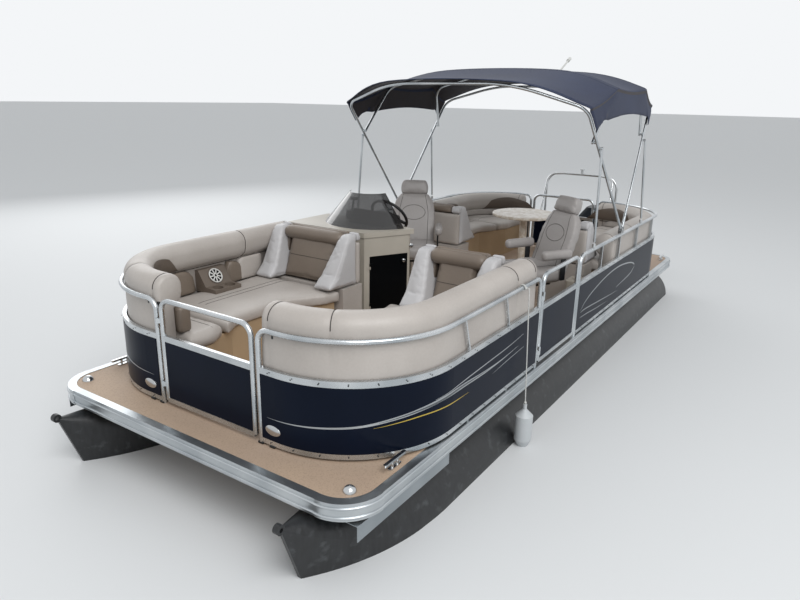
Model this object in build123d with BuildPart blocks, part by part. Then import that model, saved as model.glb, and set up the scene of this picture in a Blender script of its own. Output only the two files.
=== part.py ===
from build123d import *
from math import cos, radians, sin
import os

os.makedirs("parts", exist_ok=True)

# Pontoon boat, in millimetres. X runs to the bow, Y to port and Z up.
# The origin is amidships on the centreline, at the waterline.

# Deck
deck_length = 6734.0
deck_beam = 2590.0
deck_height = 470.0
deck_thickness = 22.0
deck_corner_radius = 250.0
deck_half_length = deck_length / 2
deck_half_beam = deck_beam / 2
edge_rail_height = 100.0
edge_rail_depth = 30.0
edge_rail_flange = 60.0
edge_rail_lip = 4.0
edge_bead_radius = 8.0
corner_cap_proud = 3.0

# Pontoon tubes and the frame that carries the deck
tube_diameter = 635.0
tube_spacing = 970.0
tube_axis_height = -20.0
tube_stern_x = -3200.0
nose_start_x = 2400.0
nose_middle_x = 3000.0
nose_tip_x = 3535.0
nose_tip_height = 372.0
nose_rake = 19.6
nose_edge_length = 640.0
nose_edge_thickness = 24.0
tow_eye_radius = 27.0
tow_eye_bore = 12.0
tow_eye_width = 34.0
riser_width = 120.0
beam_count = 11
beam_pitch = 570.0
beam_height = 90.0
beam_width = 45.0
beam_wall = 6.0
beam_setback = 80.0
beam_length = deck_beam - 2 * beam_setback

# Fence
fence_front_x = deck_half_length - 257
fence_aft_x = 597 - deck_half_length
fence_setback = 33.0
fence_half_width = deck_half_beam - fence_setback
widest_gate_end = 480.0
hoop_radius = 75.0
fence_corner_radius = min(700.0, fence_half_width - widest_gate_end - hoop_radius - 7)
rail_radius = 16.0
mid_rail_width = 38.0
bottom_rail_width = 32.0
cross_rail_depth = 24.0
post_size = 22.0
strut_size = 14.0
strut_lean = 80.0
top_rail_height = 690.0
mid_rail_height = 454.0
bottom_rail_height = 30.0
panel_thickness = 3.0
panel_gap = 0.3
fence_split_x = -150.0

# Gates
gate_height = 700.0
gate_foot_height = 40.0
gate_post_gap = 50.0
hinge_radius = 9.0
hinge_offset = 22.0
hinge_length = 30.0
hinge_pin_radius = 4.0
hinge_heights = (100.0, 520.0)
pin_clearance = 0.05

# Furniture
upholstery_gap = 20.0
seat_top = 420.0
seat_thickness = 100.0
bow_bolster_top = 825.0
aft_bolster_top = 700.0
bolster_roll = 190.0
bolster_foot = 110.0
bolster_base = 130.0
soft_gap = 0.3

# Helm
console_top = 815.0
console_wall = 20.0
console_fence_gap = 132.0
screen_top = 1090.0
screen_thickness = 5.0
wheel_radius = 180.0
wheel_rim_radius = 13.0
wheel_tilt = 37.0

# Chairs and table
chair_width = 500.0
chair_depth = 480.0
chair_seat_top = 500.0
chair_head_top = 1085.0
chair_recline = 19.0
pedestal_radius = 36.0
chair_pin_radius = 18.0
table_radius = 350.0
table_height = 700.0
table_thickness = 30.0

# Bimini
bow_radius = 12.5
bimini_foot_height = 752.0
canopy_thickness = 8.0

# Outboard
transom_x = -deck_half_length - 353
transom_top = 270.0
tilt_axis_x = transom_x - 70
tilt_axis_height = 330.0
steer_axis_x = transom_x - 145
prop_axis_height = -360.0
prop_radius = 172.0

tube_radius = tube_diameter / 2
frame_top = deck_height - deck_thickness
beam_bottom = frame_top - beam_height
fence_length = fence_front_x - fence_aft_x
fence_middle_x = (fence_front_x + fence_aft_x) / 2


def finish(builder, label, place=Location()):
    """Name a piece, put it in its place and write it to its own file."""
    piece = builder.part.moved(place)
    piece.label = label
    export_step(piece, f"parts/{label}.step")


def add_tube(points, radii, radius):
    """Add a round tube along a path with filleted corners to the piece being built."""
    with BuildLine() as path:
        if radii:
            FilletPolyline(*points, radius=radii)
        else:
            Line(*points)
    with BuildSketch(Plane(origin=path.line @ 0, z_dir=path.line % 0)) as section:
        Circle(radius)
    sweep(sections=section.sketch, path=path.line)


def add_rail(points, corner_radius, width):
    """Add a flat cross rail, width tall, along a level path to the piece being built."""
    with BuildLine() as path:
        if corner_radius:
            FilletPolyline(*points, radius=corner_radius)
        else:
            Line(*points)
    with BuildSketch(Plane(path.line @ 0, (0, 0, 1), path.line % 0)) as section:
        Rectangle(width, cross_rail_depth)
    sweep(sections=section.sketch, path=path.line)


def fence_ring(outset, width):
    """Draw the band that follows the fence line, from outset inwards by width."""
    RectangleRounded(
        fence_length + 2 * outset,
        2 * (fence_half_width + outset),
        fence_corner_radius + outset,
    )
    inner = outset - width
    RectangleRounded(
        fence_length + 2 * inner,
        2 * (fence_half_width + inner),
        fence_corner_radius + inner,
        mode=Mode.SUBTRACT,
    )


# Pontoon tubes: a long cylinder, a nose drawn in to a raked edge, a riser for the deck frame
for side, label in ((1, "tube_port"), (-1, "tube_starboard")):
    tube_y = side * tube_spacing
    edge_middle = Vector(
        nose_tip_x - nose_edge_length / 2 * sin(radians(nose_rake)),
        tube_y,
        nose_tip_height - nose_edge_length / 2 * cos(radians(nose_rake)),
    )
    edge_normal = (cos(radians(nose_rake)), 0, -sin(radians(nose_rake)))
    with BuildPart() as tube:
        with BuildSketch(Plane((tube_stern_x, tube_y, tube_axis_height), (0, 1, 0), (1, 0, 0))):
            SlotOverall(tube_diameter, tube_diameter - 2, rotation=90)
        extrude(amount=nose_start_x - tube_stern_x)
        with BuildSketch(Plane((nose_start_x, tube_y, tube_axis_height), (0, 1, 0), (1, 0, 0))):
            SlotOverall(tube_diameter, tube_diameter - 2, rotation=90)
        with BuildSketch(Plane((nose_middle_x, tube_y, 25), (0, 1, 0), (1, 0, 0))):
            SlotOverall(tube_diameter - 45, tube_diameter * 0.72, rotation=90)
        with BuildSketch(Plane(edge_middle, (0, 1, 0), edge_normal)):
            SlotOverall(nose_edge_length, nose_edge_thickness, rotation=90)
        loft()
        riser_foot = tube_axis_height + tube_radius - 30
        with BuildSketch(Plane.XY.offset(riser_foot)):
            with Locations(((tube_stern_x + nose_start_x) / 2 + 60, tube_y)):
                Rectangle(nose_start_x - tube_stern_x - 200, riser_width)
        extrude(amount=beam_bottom - riser_foot)
        with BuildSketch(Plane.XZ.offset(-tube_y - tow_eye_width / 2)):
            with Locations((nose_tip_x, nose_tip_height)):
                Circle(tow_eye_radius)
        extrude(amount=tow_eye_width)
        with BuildSketch(Plane.XZ.offset(-tube_y - tow_eye_width / 2)):
            with Locations((nose_tip_x, nose_tip_height)):
                Circle(tow_eye_bore)
        extrude(amount=tow_eye_width, mode=Mode.SUBTRACT)
    finish(tube, label)

# Deck frame: channels across both tubes
with BuildPart() as beams:
    with BuildSketch(Plane.XZ.offset(-beam_length / 2)):
        with GridLocations(beam_pitch, 0, beam_count, 1):
            with Locations((0, beam_bottom + beam_height / 2)):
                Rectangle(beam_width, beam_height)
                with Locations((beam_wall, 0)):
                    Rectangle(beam_width, beam_height - 2 * beam_wall, mode=Mode.SUBTRACT)
    extrude(amount=beam_length)
finish(beams, "deck_beams")

# Deck board inside the edge rails
board_length = deck_length - 2 * edge_rail_depth
board_width = deck_beam - 2 * edge_rail_depth
with BuildPart() as deck:
    with BuildSketch(Plane.XY.offset(frame_top)):
        RectangleRounded(board_length, board_width, deck_corner_radius - edge_rail_depth)
    extrude(amount=deck_thickness)
finish(deck, "deck")


def edge_rail_section(proud):
    """Draw the edge rail's section: x outwards from the hull's side, y up from the deck."""
    inner = -edge_rail_depth + soft_gap
    web = -edge_bead_radius
    low = -edge_rail_height + edge_rail_lip
    bead_spots = (0.25 * low, 0.8 * low)
    with BuildLine() as outline:
        Polyline(
            (inner, low),
            (web + proud, low),
            (web + proud, edge_rail_lip),
            (-edge_rail_flange, edge_rail_lip),
            (-edge_rail_flange, soft_gap),
            (inner, soft_gap),
            close=True,
        )
    make_face(outline.edges())
    for spot in bead_spots:
        with Locations((web + proud, spot)):
            Circle(edge_bead_radius)


# Edge rails: four straight runs and four corner caps, two beads on the outside
straight_x = deck_length - 2 * deck_corner_radius
straight_y = deck_beam - 2 * deck_corner_radius
cap_gap = 0.5
with BuildPart() as edge_rails:
    for x_dir, z_dir, half, run in (
        ((0, 1, 0), (1, 0, 0), deck_half_beam, straight_x),
        ((0, -1, 0), (-1, 0, 0), deck_half_beam, straight_x),
        ((1, 0, 0), (0, -1, 0), deck_half_length, straight_y),
        ((-1, 0, 0), (0, 1, 0), deck_half_length, straight_y),
    ):
        start = Vector(x_dir) * half - Vector(z_dir) * (run / 2 - cap_gap) + Vector(0, 0, deck_height)
        with BuildSketch(Plane(start, x_dir, z_dir)):
            edge_rail_section(0)
        extrude(amount=run - 2 * cap_gap)
finish(edge_rails, "edge_rails")

with BuildPart() as corner_caps:
    for side_x, side_y in ((1, 1), (-1, 1), (-1, -1), (1, -1)):
        centre = Vector(
            side_x * (deck_half_length - deck_corner_radius),
            side_y * (deck_half_beam - deck_corner_radius),
            deck_height,
        )
        out = Vector(side_x, 0, 0) if side_x == side_y else Vector(0, side_y, 0)
        start = centre + out * deck_corner_radius
        with BuildSketch(Plane(start, out, Vector(0, 0, 1).cross(out) * -1)):
            edge_rail_section(corner_cap_proud)
        revolve(axis=Axis(centre, (0, 0, 1)), revolution_arc=90)
finish(corner_caps, "corner_caps")

# Splash plates: folded sheets under the bow corners, outboard of the risers
splash_length = 900.0
splash_drop = 90.0
splash_thickness = 4.0
splash_width = 215.0
splash_outer_y = deck_half_beam - edge_rail_depth - 8
splash_top = beam_bottom - soft_gap
with BuildPart() as splash_plates:
    with BuildSketch(Plane.YZ.offset(deck_half_length - 80 - splash_length)):
        with BuildLine():
            Polyline(
                (splash_outer_y, splash_top),
                (splash_outer_y - splash_width, splash_top),
                (splash_outer_y - splash_width, splash_top - splash_thickness),
                (splash_outer_y - splash_thickness, splash_top - splash_thickness),
                (splash_outer_y - splash_thickness, splash_top - splash_drop),
                (splash_outer_y, splash_top - splash_drop),
                close=True,
            )
        make_face()
    extrude(amount=splash_length)
    mirror(about=Plane.XZ)
finish(splash_plates, "splash_plates")

# Motor pod: a closed box between the tubes, wedge fronted, with the transom at its aft end
pod_width = 560.0
pod_front_x = -2500.0
pod_keel_height = -190.0
with BuildPart() as motor_pod:
    with BuildSketch(Plane.XZ.offset(-pod_width / 2)):
        with BuildLine():
            Polyline(
                (pod_front_x, beam_bottom - soft_gap),
                (pod_front_x - 420, pod_keel_height + 60),
                (transom_x + 60, pod_keel_height),
                (transom_x, transom_top),
                (transom_x + 70, transom_top),
                (-deck_half_length, beam_bottom - soft_gap),
                close=True,
            )
        make_face()
    extrude(amount=pod_width)
finish(motor_pod, "motor_pod")


# Fence sections: hooped top rail, mid rail, bottom rail and posts behind the panels
top_z = deck_height + top_rail_height
mid_z = deck_height + mid_rail_height
bottom_z = deck_height + bottom_rail_height
side_foot = deck_height + edge_rail_lip + soft_gap
front_gate = (-380.0, 390.0)
side_gate = (366.0, 1100.0)
stern_gate = (-430.0, 360.0)
gates = {
    # name: fence that carries it, hinged post (x, y), direction along the gate,
    # outside of the fence, side that the hinges stand on, width between posts
    "gate_front": (
        "fence_bow_starboard", (fence_front_x, front_gate[0]),
        (0, 1, 0), (1, 0, 0), (1, 0, 0), front_gate[1] - front_gate[0],
    ),
    "gate_side": (
        "fence_bow_port", (side_gate[1], fence_half_width),
        (-1, 0, 0), (0, 1, 0), (0, 1, 0), side_gate[1] - side_gate[0],
    ),
    "gate_stern": (
        "fence_aft_port", (fence_aft_x, stern_gate[1]),
        (0, -1, 0), (-1, 0, 0), (1, 0, 0), stern_gate[1] - stern_gate[0],
    ),
}


def add_knuckles(post, axis_spot, low, pin):
    """Add hinge knuckles from a post to the hinge axis, with a pin or with a bore for it."""
    for height in hinge_heights:
        foot = deck_height + height + low
        with BuildSketch(Plane.XY.offset(foot)) as leaf:
            SlotCenterPoint((axis_spot + post) * 0.5, axis_spot, 2 * hinge_radius)
        extrude(to_extrude=leaf.sketch, amount=hinge_length)
        if pin:
            with BuildSketch(Plane.XY.offset(foot + hinge_length)) as disc:
                with Locations(axis_spot):
                    Circle(hinge_pin_radius)
            extrude(to_extrude=disc.sketch, amount=hinge_length)
        else:
            with BuildSketch(Plane.XY.offset(foot)) as disc:
                with Locations(axis_spot):
                    Circle(hinge_pin_radius + pin_clearance)
            extrude(to_extrude=disc.sketch, amount=hinge_length, mode=Mode.SUBTRACT)


def hinge_spot(spot, along, hinge_side):
    """Return a gate's hinge axis: between its post and the fence's, off the fence line."""
    return Vector(*spot) - Vector(*along) * gate_post_gap / 2 + Vector(*hinge_side) * hinge_offset


bow_struts = (fence_front_x - 910, fence_front_x - 1460)
aft_posts = (fence_aft_x + 780, fence_aft_x + 1370)
fence_sections = {
    # name: first end (x, y), last end (x, y), full posts (x), posts with a leaning strut on top (x)
    "fence_bow_starboard": (
        (fence_front_x, front_gate[0] - gate_post_gap),
        (fence_split_x + 25, -fence_half_width),
        (1050.0, 450.0),
        bow_struts,
    ),
    "fence_bow_port": (
        (fence_front_x, front_gate[1] + gate_post_gap),
        (side_gate[1] + gate_post_gap, fence_half_width),
        (),
        bow_struts,
    ),
    "fence_aft_starboard": (
        (fence_aft_x, stern_gate[0] - gate_post_gap),
        (fence_split_x - 25, -fence_half_width),
        (*aft_posts, -780.0),
        (),
    ),
    "fence_aft_port": (
        (fence_aft_x, stern_gate[1] + gate_post_gap),
        (side_gate[0] - gate_post_gap, fence_half_width),
        (*aft_posts, -780.0, -240.0),
        (),
    ),
}
for label, (first, last, posts, strut_posts) in fence_sections.items():
    corner = (first[0], last[1])
    with BuildPart() as fence:
        add_tube(
            [
                (*first, deck_height + soft_gap),
                (*first, top_z),
                (*corner, top_z),
                (*last, top_z),
                (*last, side_foot),
            ],
            [hoop_radius, fence_corner_radius, hoop_radius],
            rail_radius,
        )
        for rail_z, rail_width in ((mid_z, mid_rail_width), (bottom_z, bottom_rail_width)):
            add_rail([(*first, rail_z), (*corner, rail_z), (*last, rail_z)], fence_corner_radius, rail_width)
        for spots, head_z in ((posts, top_z), (strut_posts, mid_z)):
            if spots:
                with BuildSketch(Plane.XY.offset(side_foot)):
                    with Locations([(post_x, last[1]) for post_x in spots]):
                        Rectangle(post_size, post_size)
                extrude(amount=head_z - side_foot)
        for post_x in strut_posts:
            with BuildSketch(Plane.XZ.offset(-last[1] - strut_size / 2)):
                with BuildLine():
                    Polyline(
                        (post_x - strut_size / 2, mid_z),
                        (post_x + strut_size / 2, mid_z),
                        (post_x + strut_lean + strut_size / 2, top_z),
                        (post_x + strut_lean - strut_size / 2, top_z),
                        close=True,
                    )
                make_face()
            extrude(amount=strut_size)
        for carrier, spot, along, _, hinge_side, _ in gates.values():
            if carrier == label:
                post = Vector(*spot) - Vector(*along) * gate_post_gap
                add_knuckles(post, hinge_spot(spot, along, hinge_side), 0, True)
    finish(fence, label)

# Fence panels: sheets on the outside of the posts, between the bottom and mid rails
panel_foot = bottom_z + bottom_rail_width / 2 + panel_gap
panel_height = mid_z - mid_rail_width / 2 - panel_gap - panel_foot
panel_outset = post_size / 2 + panel_gap + panel_thickness
post_clear = rail_radius + panel_gap
for side, label in ((1, "panels_port"), (-1, "panels_starboard")):
    with BuildPart() as panels:
        for first, last, *_ in fence_sections.values():
            if last[1] * side < 0:
                continue
            toward = 1 if first[0] < last[0] else -1
            x_low, x_high = sorted((first[0] - toward * 40, last[0] - toward * post_clear))
            y_low, y_high = sorted((first[1] + side * post_clear, last[1] + side * 40))
            with BuildSketch(Plane.XY.offset(panel_foot)):
                with Locations((fence_middle_x, 0)):
                    fence_ring(panel_outset, panel_thickness)
                with Locations(((x_low + x_high) / 2, (y_low + y_high) / 2)):
                    Rectangle(x_high - x_low, y_high - y_low, mode=Mode.INTERSECT)
            extrude(amount=panel_height)
    finish(panels, label)

# Gates: a hooped frame hinged to the fence beside it, and the sheet set in its lower half
gate_panel_outset = 5.0
for label, (_, spot, along, outwards, hinge_side, width) in gates.items():
    base = Plane((*spot, deck_height), along, outwards)
    with BuildPart() as gate:
        foot, head = gate_foot_height, gate_height
        corners = [(0, foot), (0, head), (width, head), (width, foot)]
        add_tube([base.from_local_coords(Vector(*c, 0)) for c in corners], [hoop_radius] * 2, rail_radius)
        for rail_y, rail_width in ((foot, bottom_rail_width), (mid_rail_height, mid_rail_width)):
            ends = [(0, rail_y), (width, rail_y)]
            add_rail([base.from_local_coords(Vector(*c, 0)) for c in ends], None, rail_width)
        add_knuckles(Vector(*spot), hinge_spot(spot, along, hinge_side), hinge_length + soft_gap, False)
    finish(gate, label)
    sheet_foot = foot + bottom_rail_width / 2 + panel_gap
    sheet_head = mid_rail_height - mid_rail_width / 2 - panel_gap
    with BuildPart() as gate_panel:
        with BuildSketch(base.offset(gate_panel_outset)):
            with Locations((width / 2, (sheet_foot + sheet_head) / 2)):
                Rectangle(width - 2 * (rail_radius + panel_gap), sheet_head - sheet_foot)
        extrude(amount=panel_thickness)
    finish(gate_panel, f"{label}_panel")

# Lounges: moulded bases, seat pads, wrap-round bolsters
bolster_inset = upholstery_gap
pad_inset = bolster_inset + bolster_foot + soft_gap
seat_z = deck_height + seat_top
pad_z = seat_z - seat_thickness
bow_seat_front = fence_front_x - 50
bow_seat_end = 1540.0
aft_seat_front = -700.0
aft_seat_end = fence_aft_x + 40
seat_outer_y = fence_half_width - 22
bow_seat_plan = [
    (bow_seat_front, 290.0),
    (bow_seat_front - 290, 290.0),
    (bow_seat_front - 580, 430.0),
    (bow_seat_end + 460, 430.0),
    (bow_seat_end + 160, 260.0),
    (bow_seat_end, 230.0),
    (bow_seat_end, seat_outer_y),
    (bow_seat_front, seat_outer_y),
]
aft_seat_plan = [
    (aft_seat_front, 640.0),
    (aft_seat_end + 1030, 640.0),
    (aft_seat_end + 620, 480.0),
    (aft_seat_end, 480.0),
    (aft_seat_end, seat_outer_y),
    (aft_seat_front, seat_outer_y),
]
lounges = {
    # name: plan, with the port side drawn
    "bow": bow_seat_plan,
    "aft": aft_seat_plan,
}
base_margin = 45.0
for name, plan in lounges.items():
    with BuildPart() as base:
        with BuildSketch(Plane.XY.offset(deck_height + soft_gap)):
            with Locations((fence_middle_x, 0)):
                RectangleRounded(
                    fence_length - 2 * pad_inset,
                    2 * (fence_half_width - pad_inset),
                    fence_corner_radius - pad_inset,
                )
            with BuildLine() as edge:
                Polyline(*plan, close=True)
            make_face(edge.edges(), mode=Mode.INTERSECT)
            offset(amount=-base_margin, kind=Kind.INTERSECTION, mode=Mode.REPLACE)
        extrude(amount=pad_z - deck_height - 2 * soft_gap)
        mirror(about=Plane.XZ)
    finish(base, f"lounge_bases_{name}")
    with BuildPart() as pads:
        with BuildSketch(Plane.XY.offset(pad_z)):
            with Locations((fence_middle_x, 0)):
                RectangleRounded(
                    fence_length - 2 * pad_inset,
                    2 * (fence_half_width - pad_inset),
                    fence_corner_radius - pad_inset,
                )
            with BuildLine() as edge:
                Polyline(*plan, close=True)
            make_face(edge.edges(), mode=Mode.INTERSECT)
        extrude(amount=seat_thickness)
        mirror(about=Plane.XZ)
    finish(pads, f"seat_pads_{name}")


def add_bolster(first, last, top):
    """Sweep a bolster round a fence corner, inside the rails, from first to last."""
    corner = (first[0], last[1])
    side = 1 if last[1] > 0 else -1
    with BuildLine() as path:
        FilletPolyline((*first, 0), (*corner, 0), (*last, 0), radius=fence_corner_radius)
    inwards = Vector(-1 if first[0] > 0 else 1, 0, 0)
    foot = deck_height + bolster_base
    head = deck_height + top
    outer = bolster_inset
    roll = bolster_roll
    with BuildSketch(Plane(path.line @ 0, inwards, path.line % 0)) as section:
        up = 1 if Plane(path.line @ 0, inwards, path.line % 0).y_dir.Z > 0 else -1
        with BuildLine() as outline:
            Polyline(
                (outer, up * (head - roll * 0.35)),
                (outer, up * foot),
                (outer + bolster_foot, up * foot),
                (outer + bolster_foot, up * (head - roll * 1.2)),
                (outer + roll, up * (head - roll * 0.9)),
                (outer + roll, up * (head - roll * 0.6)),
            )
            ThreePointArc(
                (outer + roll, up * (head - roll * 0.6)),
                (outer + roll * 0.8, up * (head - roll * 0.16)),
                (outer + roll * 0.4, up * head),
            )
            ThreePointArc(
                (outer + roll * 0.4, up * head),
                (outer + roll * 0.11, up * (head - roll * 0.1)),
                (outer, up * (head - roll * 0.35)),
            )
        make_face(outline.edges())
    sweep(sections=section.sketch, path=path.line)


bolster_ends = {
    # name: top, then pairs of ends (x, y)
    "bow": (
        bow_bolster_top,
        ((fence_front_x, 440.0), (side_gate[1] + 75, fence_half_width)),
        ((fence_front_x, -430.0), (side_gate[1] + 100, -fence_half_width)),
    ),
    "aft": (
        aft_bolster_top,
        ((fence_aft_x, 480.0), (aft_seat_front, fence_half_width)),
        ((fence_aft_x, -530.0), (aft_seat_front, -fence_half_width)),
    ),
}
for name, (top, *pairs) in bolster_ends.items():
    with BuildPart() as bolsters:
        for first, last in pairs:
            add_bolster(first, last, top)
    finish(bolsters, f"bolsters_{name}")

# Chaise backs: tall leaning backrests that close the aft end of the bow lounges
# and the forward end of the aft lounges
chaise_inner_y = 230.0
chaise_outer_y = fence_half_width - bolster_inset - bolster_roll - soft_gap
chaise_tops = (850.0, 830.0)
chaise_wing = 85.0
chaise_wing_proud = 38.0
chaise_backs_at = {
    # name: x of the seat's end, way that the sitter faces, top, inner edges to port and starboard
    "chaise_backs_bow": (bow_seat_end, 1, chaise_tops[0], 400.0, chaise_inner_y),
    "chaise_backs_aft": (aft_seat_front, -1, chaise_tops[1], 640.0, 300.0),
}


def chaise_profile(seat_end_x, face, head, proud, foot):
    """Draw a backrest's side: it leans from the seat's end and stands proud over the seat."""
    with BuildLine() as outline:
        Polyline(
            (seat_end_x - face * soft_gap, foot),
            (seat_end_x - face * soft_gap, seat_z + soft_gap),
            (seat_end_x + face * proud, seat_z + soft_gap),
            (seat_end_x - face * (130 - proud), head - 45),
            (seat_end_x - face * (165 - proud / 2), head),
            (seat_end_x - face * 225, head),
            (seat_end_x - face * 245, head - 40),
            (seat_end_x - face * 250, foot),
            close=True,
        )
    make_face(outline.edges())


for label, (seat_end_x, face, top, port_y, starboard_y) in chaise_backs_at.items():
    head = deck_height + top
    with BuildPart() as backs:
        for side, inner_y in ((1, port_y), (-1, starboard_y)):
            with BuildSketch(Plane.XZ.offset(-side * inner_y)) as middle:
                chaise_profile(seat_end_x, face, head, -8, deck_height + soft_gap)
            extrude(to_extrude=middle.sketch, amount=-side * (chaise_outer_y - inner_y))
            for wing_y in (inner_y, chaise_outer_y - chaise_wing):
                with BuildSketch(Plane.XZ.offset(-side * wing_y)) as wing:
                    chaise_profile(seat_end_x, face, head - 6, chaise_wing_proud, pad_z)
                extrude(to_extrude=wing.sketch, amount=-side * chaise_wing)
    finish(backs, label)

# Helm console: a hollow moulding with a door opening in its port face
console_outer_y = console_fence_gap - fence_half_width
console_plan = [
    (1180.0, -290.0),
    (760.0, -80.0),
    (640.0, -560.0),
    (640.0, console_outer_y),
    (1180.0, console_outer_y),
]
console_z = deck_height + soft_gap
door_edge = (Vector(1135, -267.5, 0), Vector(805, -102.5, 0))
door_along = (door_edge[1] - door_edge[0]).normalized()
door_out = Vector(-door_along.Y, door_along.X, 0) * -1
door_width = (door_edge[1] - door_edge[0]).length
door_foot = 90.0
door_head = 610.0
door_gap = 4.0
door_thickness = 18.0
door_plane = Plane(door_edge[0] + Vector(0, 0, deck_height), door_along, door_out)
door_hinge_heights = (150.0, 500.0)
door_hinge_length = 25.0
door_hinge_radius = 6.0
door_hinge_out = 7.0
door_pin_radius = 2.5
door_leaf = 28.0
lip_height = 42.0
lip_proud = 9.0


def add_door_hinges(low, leaf_side, pin):
    """Add the barrels and leaves of the door's hinges, with a pin or with a bore for it."""
    barrel_spot = door_plane.from_local_coords(Vector(door_gap / 2, 0, door_hinge_out))
    for height in door_hinge_heights:
        foot = height + low
        with BuildSketch(door_plane) as leaf:
            with Locations((door_gap / 2 + leaf_side * door_leaf / 2, foot + door_hinge_length / 2)):
                Rectangle(door_leaf, door_hinge_length)
        extrude(to_extrude=leaf.sketch, amount=4)
        for radius, length, mode in (
            (door_hinge_radius, door_hinge_length, Mode.ADD),
            (door_pin_radius if pin else door_pin_radius + pin_clearance, 2 * door_hinge_length,
             Mode.ADD if pin else Mode.SUBTRACT),
        ):
            with BuildSketch(Plane((barrel_spot.X, barrel_spot.Y, deck_height + foot))) as disc:
                Circle(radius)
            extrude(to_extrude=disc.sketch, amount=length, mode=mode)


with BuildPart() as console:
    with BuildSketch(Plane.XY.offset(console_z)):
        with BuildLine():
            Polyline(*console_plan, close=True)
        make_face()
    extrude(amount=console_top - soft_gap)
    fillet(console.edges().filter_by(Axis.Z).group_by(Axis.Y)[-1], 40)
    offset(amount=-console_wall, openings=console.faces().sort_by(Axis.Z)[0])
    with BuildSketch(door_plane.offset(5)):
        with Locations((door_width / 2, (door_foot + door_head) / 2)):
            Rectangle(door_width, door_head - door_foot)
    extrude(amount=-60, mode=Mode.SUBTRACT)
    lip_foot = deck_height + console_top - lip_height
    with BuildSketch(Plane.XY.offset(lip_foot)) as lip:
        with BuildLine() as outline:
            Polyline(*console_plan, close=True)
        make_face(outline.edges())
        offset(amount=lip_proud, kind=Kind.ARC)
    extrude(to_extrude=lip.sketch, amount=lip_height)
    with BuildSketch(Plane.XY.offset(lip_foot)) as hollow:
        with BuildLine() as outline:
            Polyline(*console_plan, close=True)
        make_face(outline.edges())
        offset(amount=-console_wall)
    extrude(to_extrude=hollow.sketch, amount=lip_height - console_wall, mode=Mode.SUBTRACT)
    add_door_hinges(0, -1, True)
finish(console, "console")

with BuildPart() as console_door:
    with BuildSketch(door_plane.offset(-door_thickness)):
        with Locations((door_width / 2, (door_foot + door_head) / 2)):
            Rectangle(door_width - 2 * door_gap, door_head - door_foot - 2 * door_gap)
    extrude(amount=door_thickness)
    with BuildSketch(door_plane):
        with Locations((door_width - 50, door_foot + 70), (door_width - 50, door_head - 70)):
            Circle(17)
    extrude(amount=14)
    add_door_hinges(door_hinge_length + soft_gap, 1, False)
finish(console_door, "console_door")

# Windscreen: a tinted wrap-round sheet on the console top, leaning aft
screen_foot = [(790.0, -990.0), (1095.0, -620.0), (800.0, -150.0)]
screen_head = [(760.0, -750.0), (900.0, -590.0), (735.0, -395.0)]
screen_foot_z = deck_height + console_top + soft_gap
with BuildPart() as windscreen:
    for points, level in ((screen_foot, screen_foot_z), (screen_head, deck_height + screen_top)):
        with BuildSketch(Plane.XY.offset(level)):
            with BuildLine() as arc:
                outer = ThreePointArc(*points)
                middle = Vector(*points[1]) - Vector(screen_thickness, 0)
                start = Vector(*points[0]) - Vector(screen_thickness, 0)
                end = Vector(*points[2]) - Vector(screen_thickness, 0)
                inner = ThreePointArc(start, middle, end)
                Line(outer @ 0, inner @ 0)
                Line(outer @ 1, inner @ 1)
            make_face()
    loft()
finish(windscreen, "windscreen")

# Steering wheel on a raked shaft, in a dash pod on the console
wheel_centre = Vector(507, -505, deck_height + 851)
wheel_aim = Vector(cos(radians(wheel_tilt)), 0, -sin(radians(wheel_tilt)))
wheel_plane = Plane(wheel_centre, (0, 1, 0), wheel_aim)
hub_radius = 32.0
shaft_length = 130.0
with BuildPart() as steering_wheel:
    with BuildSketch(Plane(wheel_centre, wheel_aim, (0, 1, 0))):
        with Locations((0, wheel_radius)):
            Circle(wheel_rim_radius)
    revolve(axis=Axis(wheel_centre, wheel_aim))
    with BuildSketch(wheel_plane.offset(-8)):
        Circle(hub_radius)
        with PolarLocations(wheel_radius / 2, 3, start_angle=90):
            Rectangle(wheel_radius, 26)
    extrude(amount=16)
    with BuildSketch(wheel_plane.offset(-14)):
        Circle(hub_radius)
    extrude(amount=40)
finish(steering_wheel, "steering_wheel")

pod_half_width = 190.0
pod_foot = deck_height + console_top + soft_gap
column_radius = 62.0
console_aft_x = min(x for x, _ in console_plan) - lip_proud
with BuildPart() as dash_pod:
    with BuildSketch(wheel_plane.offset(40 - 14 + soft_gap)):
        Circle(column_radius)
    extrude(amount=180)
    with BuildSketch(Plane.YZ.offset(console_aft_x - soft_gap)):
        with Locations((wheel_centre.Y, wheel_centre.Z)):
            Rectangle(400, 800)
    extrude(amount=300, mode=Mode.SUBTRACT)
    with BuildSketch(Plane.XZ.offset(-wheel_centre.Y - pod_half_width)):
        with BuildLine():
            Polyline(
                (console_aft_x - 40, pod_foot),
                (console_aft_x + 240, pod_foot),
                (console_aft_x + 160, pod_foot + 120),
                (console_aft_x - 10, pod_foot + 70),
                close=True,
            )
        make_face()
    extrude(amount=2 * pod_half_width)
finish(dash_pod, "dash_pod")

# Throttle: a side-mount box beside the wheel with its lever upright in neutral
throttle_spot = (690.0, -800.0)
throttle_lever_half = 11.0
with BuildPart() as throttle:
    with BuildSketch(Plane.XY.offset(deck_height + console_top + soft_gap)):
        with Locations(throttle_spot):
            RectangleRounded(110, 70, 20)
    extrude(amount=75)
    lever_foot = Vector(*throttle_spot, deck_height + console_top + 60)
    lever_plane = Plane(lever_foot, (1, 0, 0), Vector(-0.25, 0, 1).normalized())
    with BuildSketch(lever_plane):
        RectangleRounded(2 * throttle_lever_half, throttle_lever_half, 5)
    extrude(amount=120)
    with BuildSketch(lever_plane.offset(110)):
        SlotOverall(80, 30, rotation=90)
    extrude(amount=28)
finish(throttle, "throttle")

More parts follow.
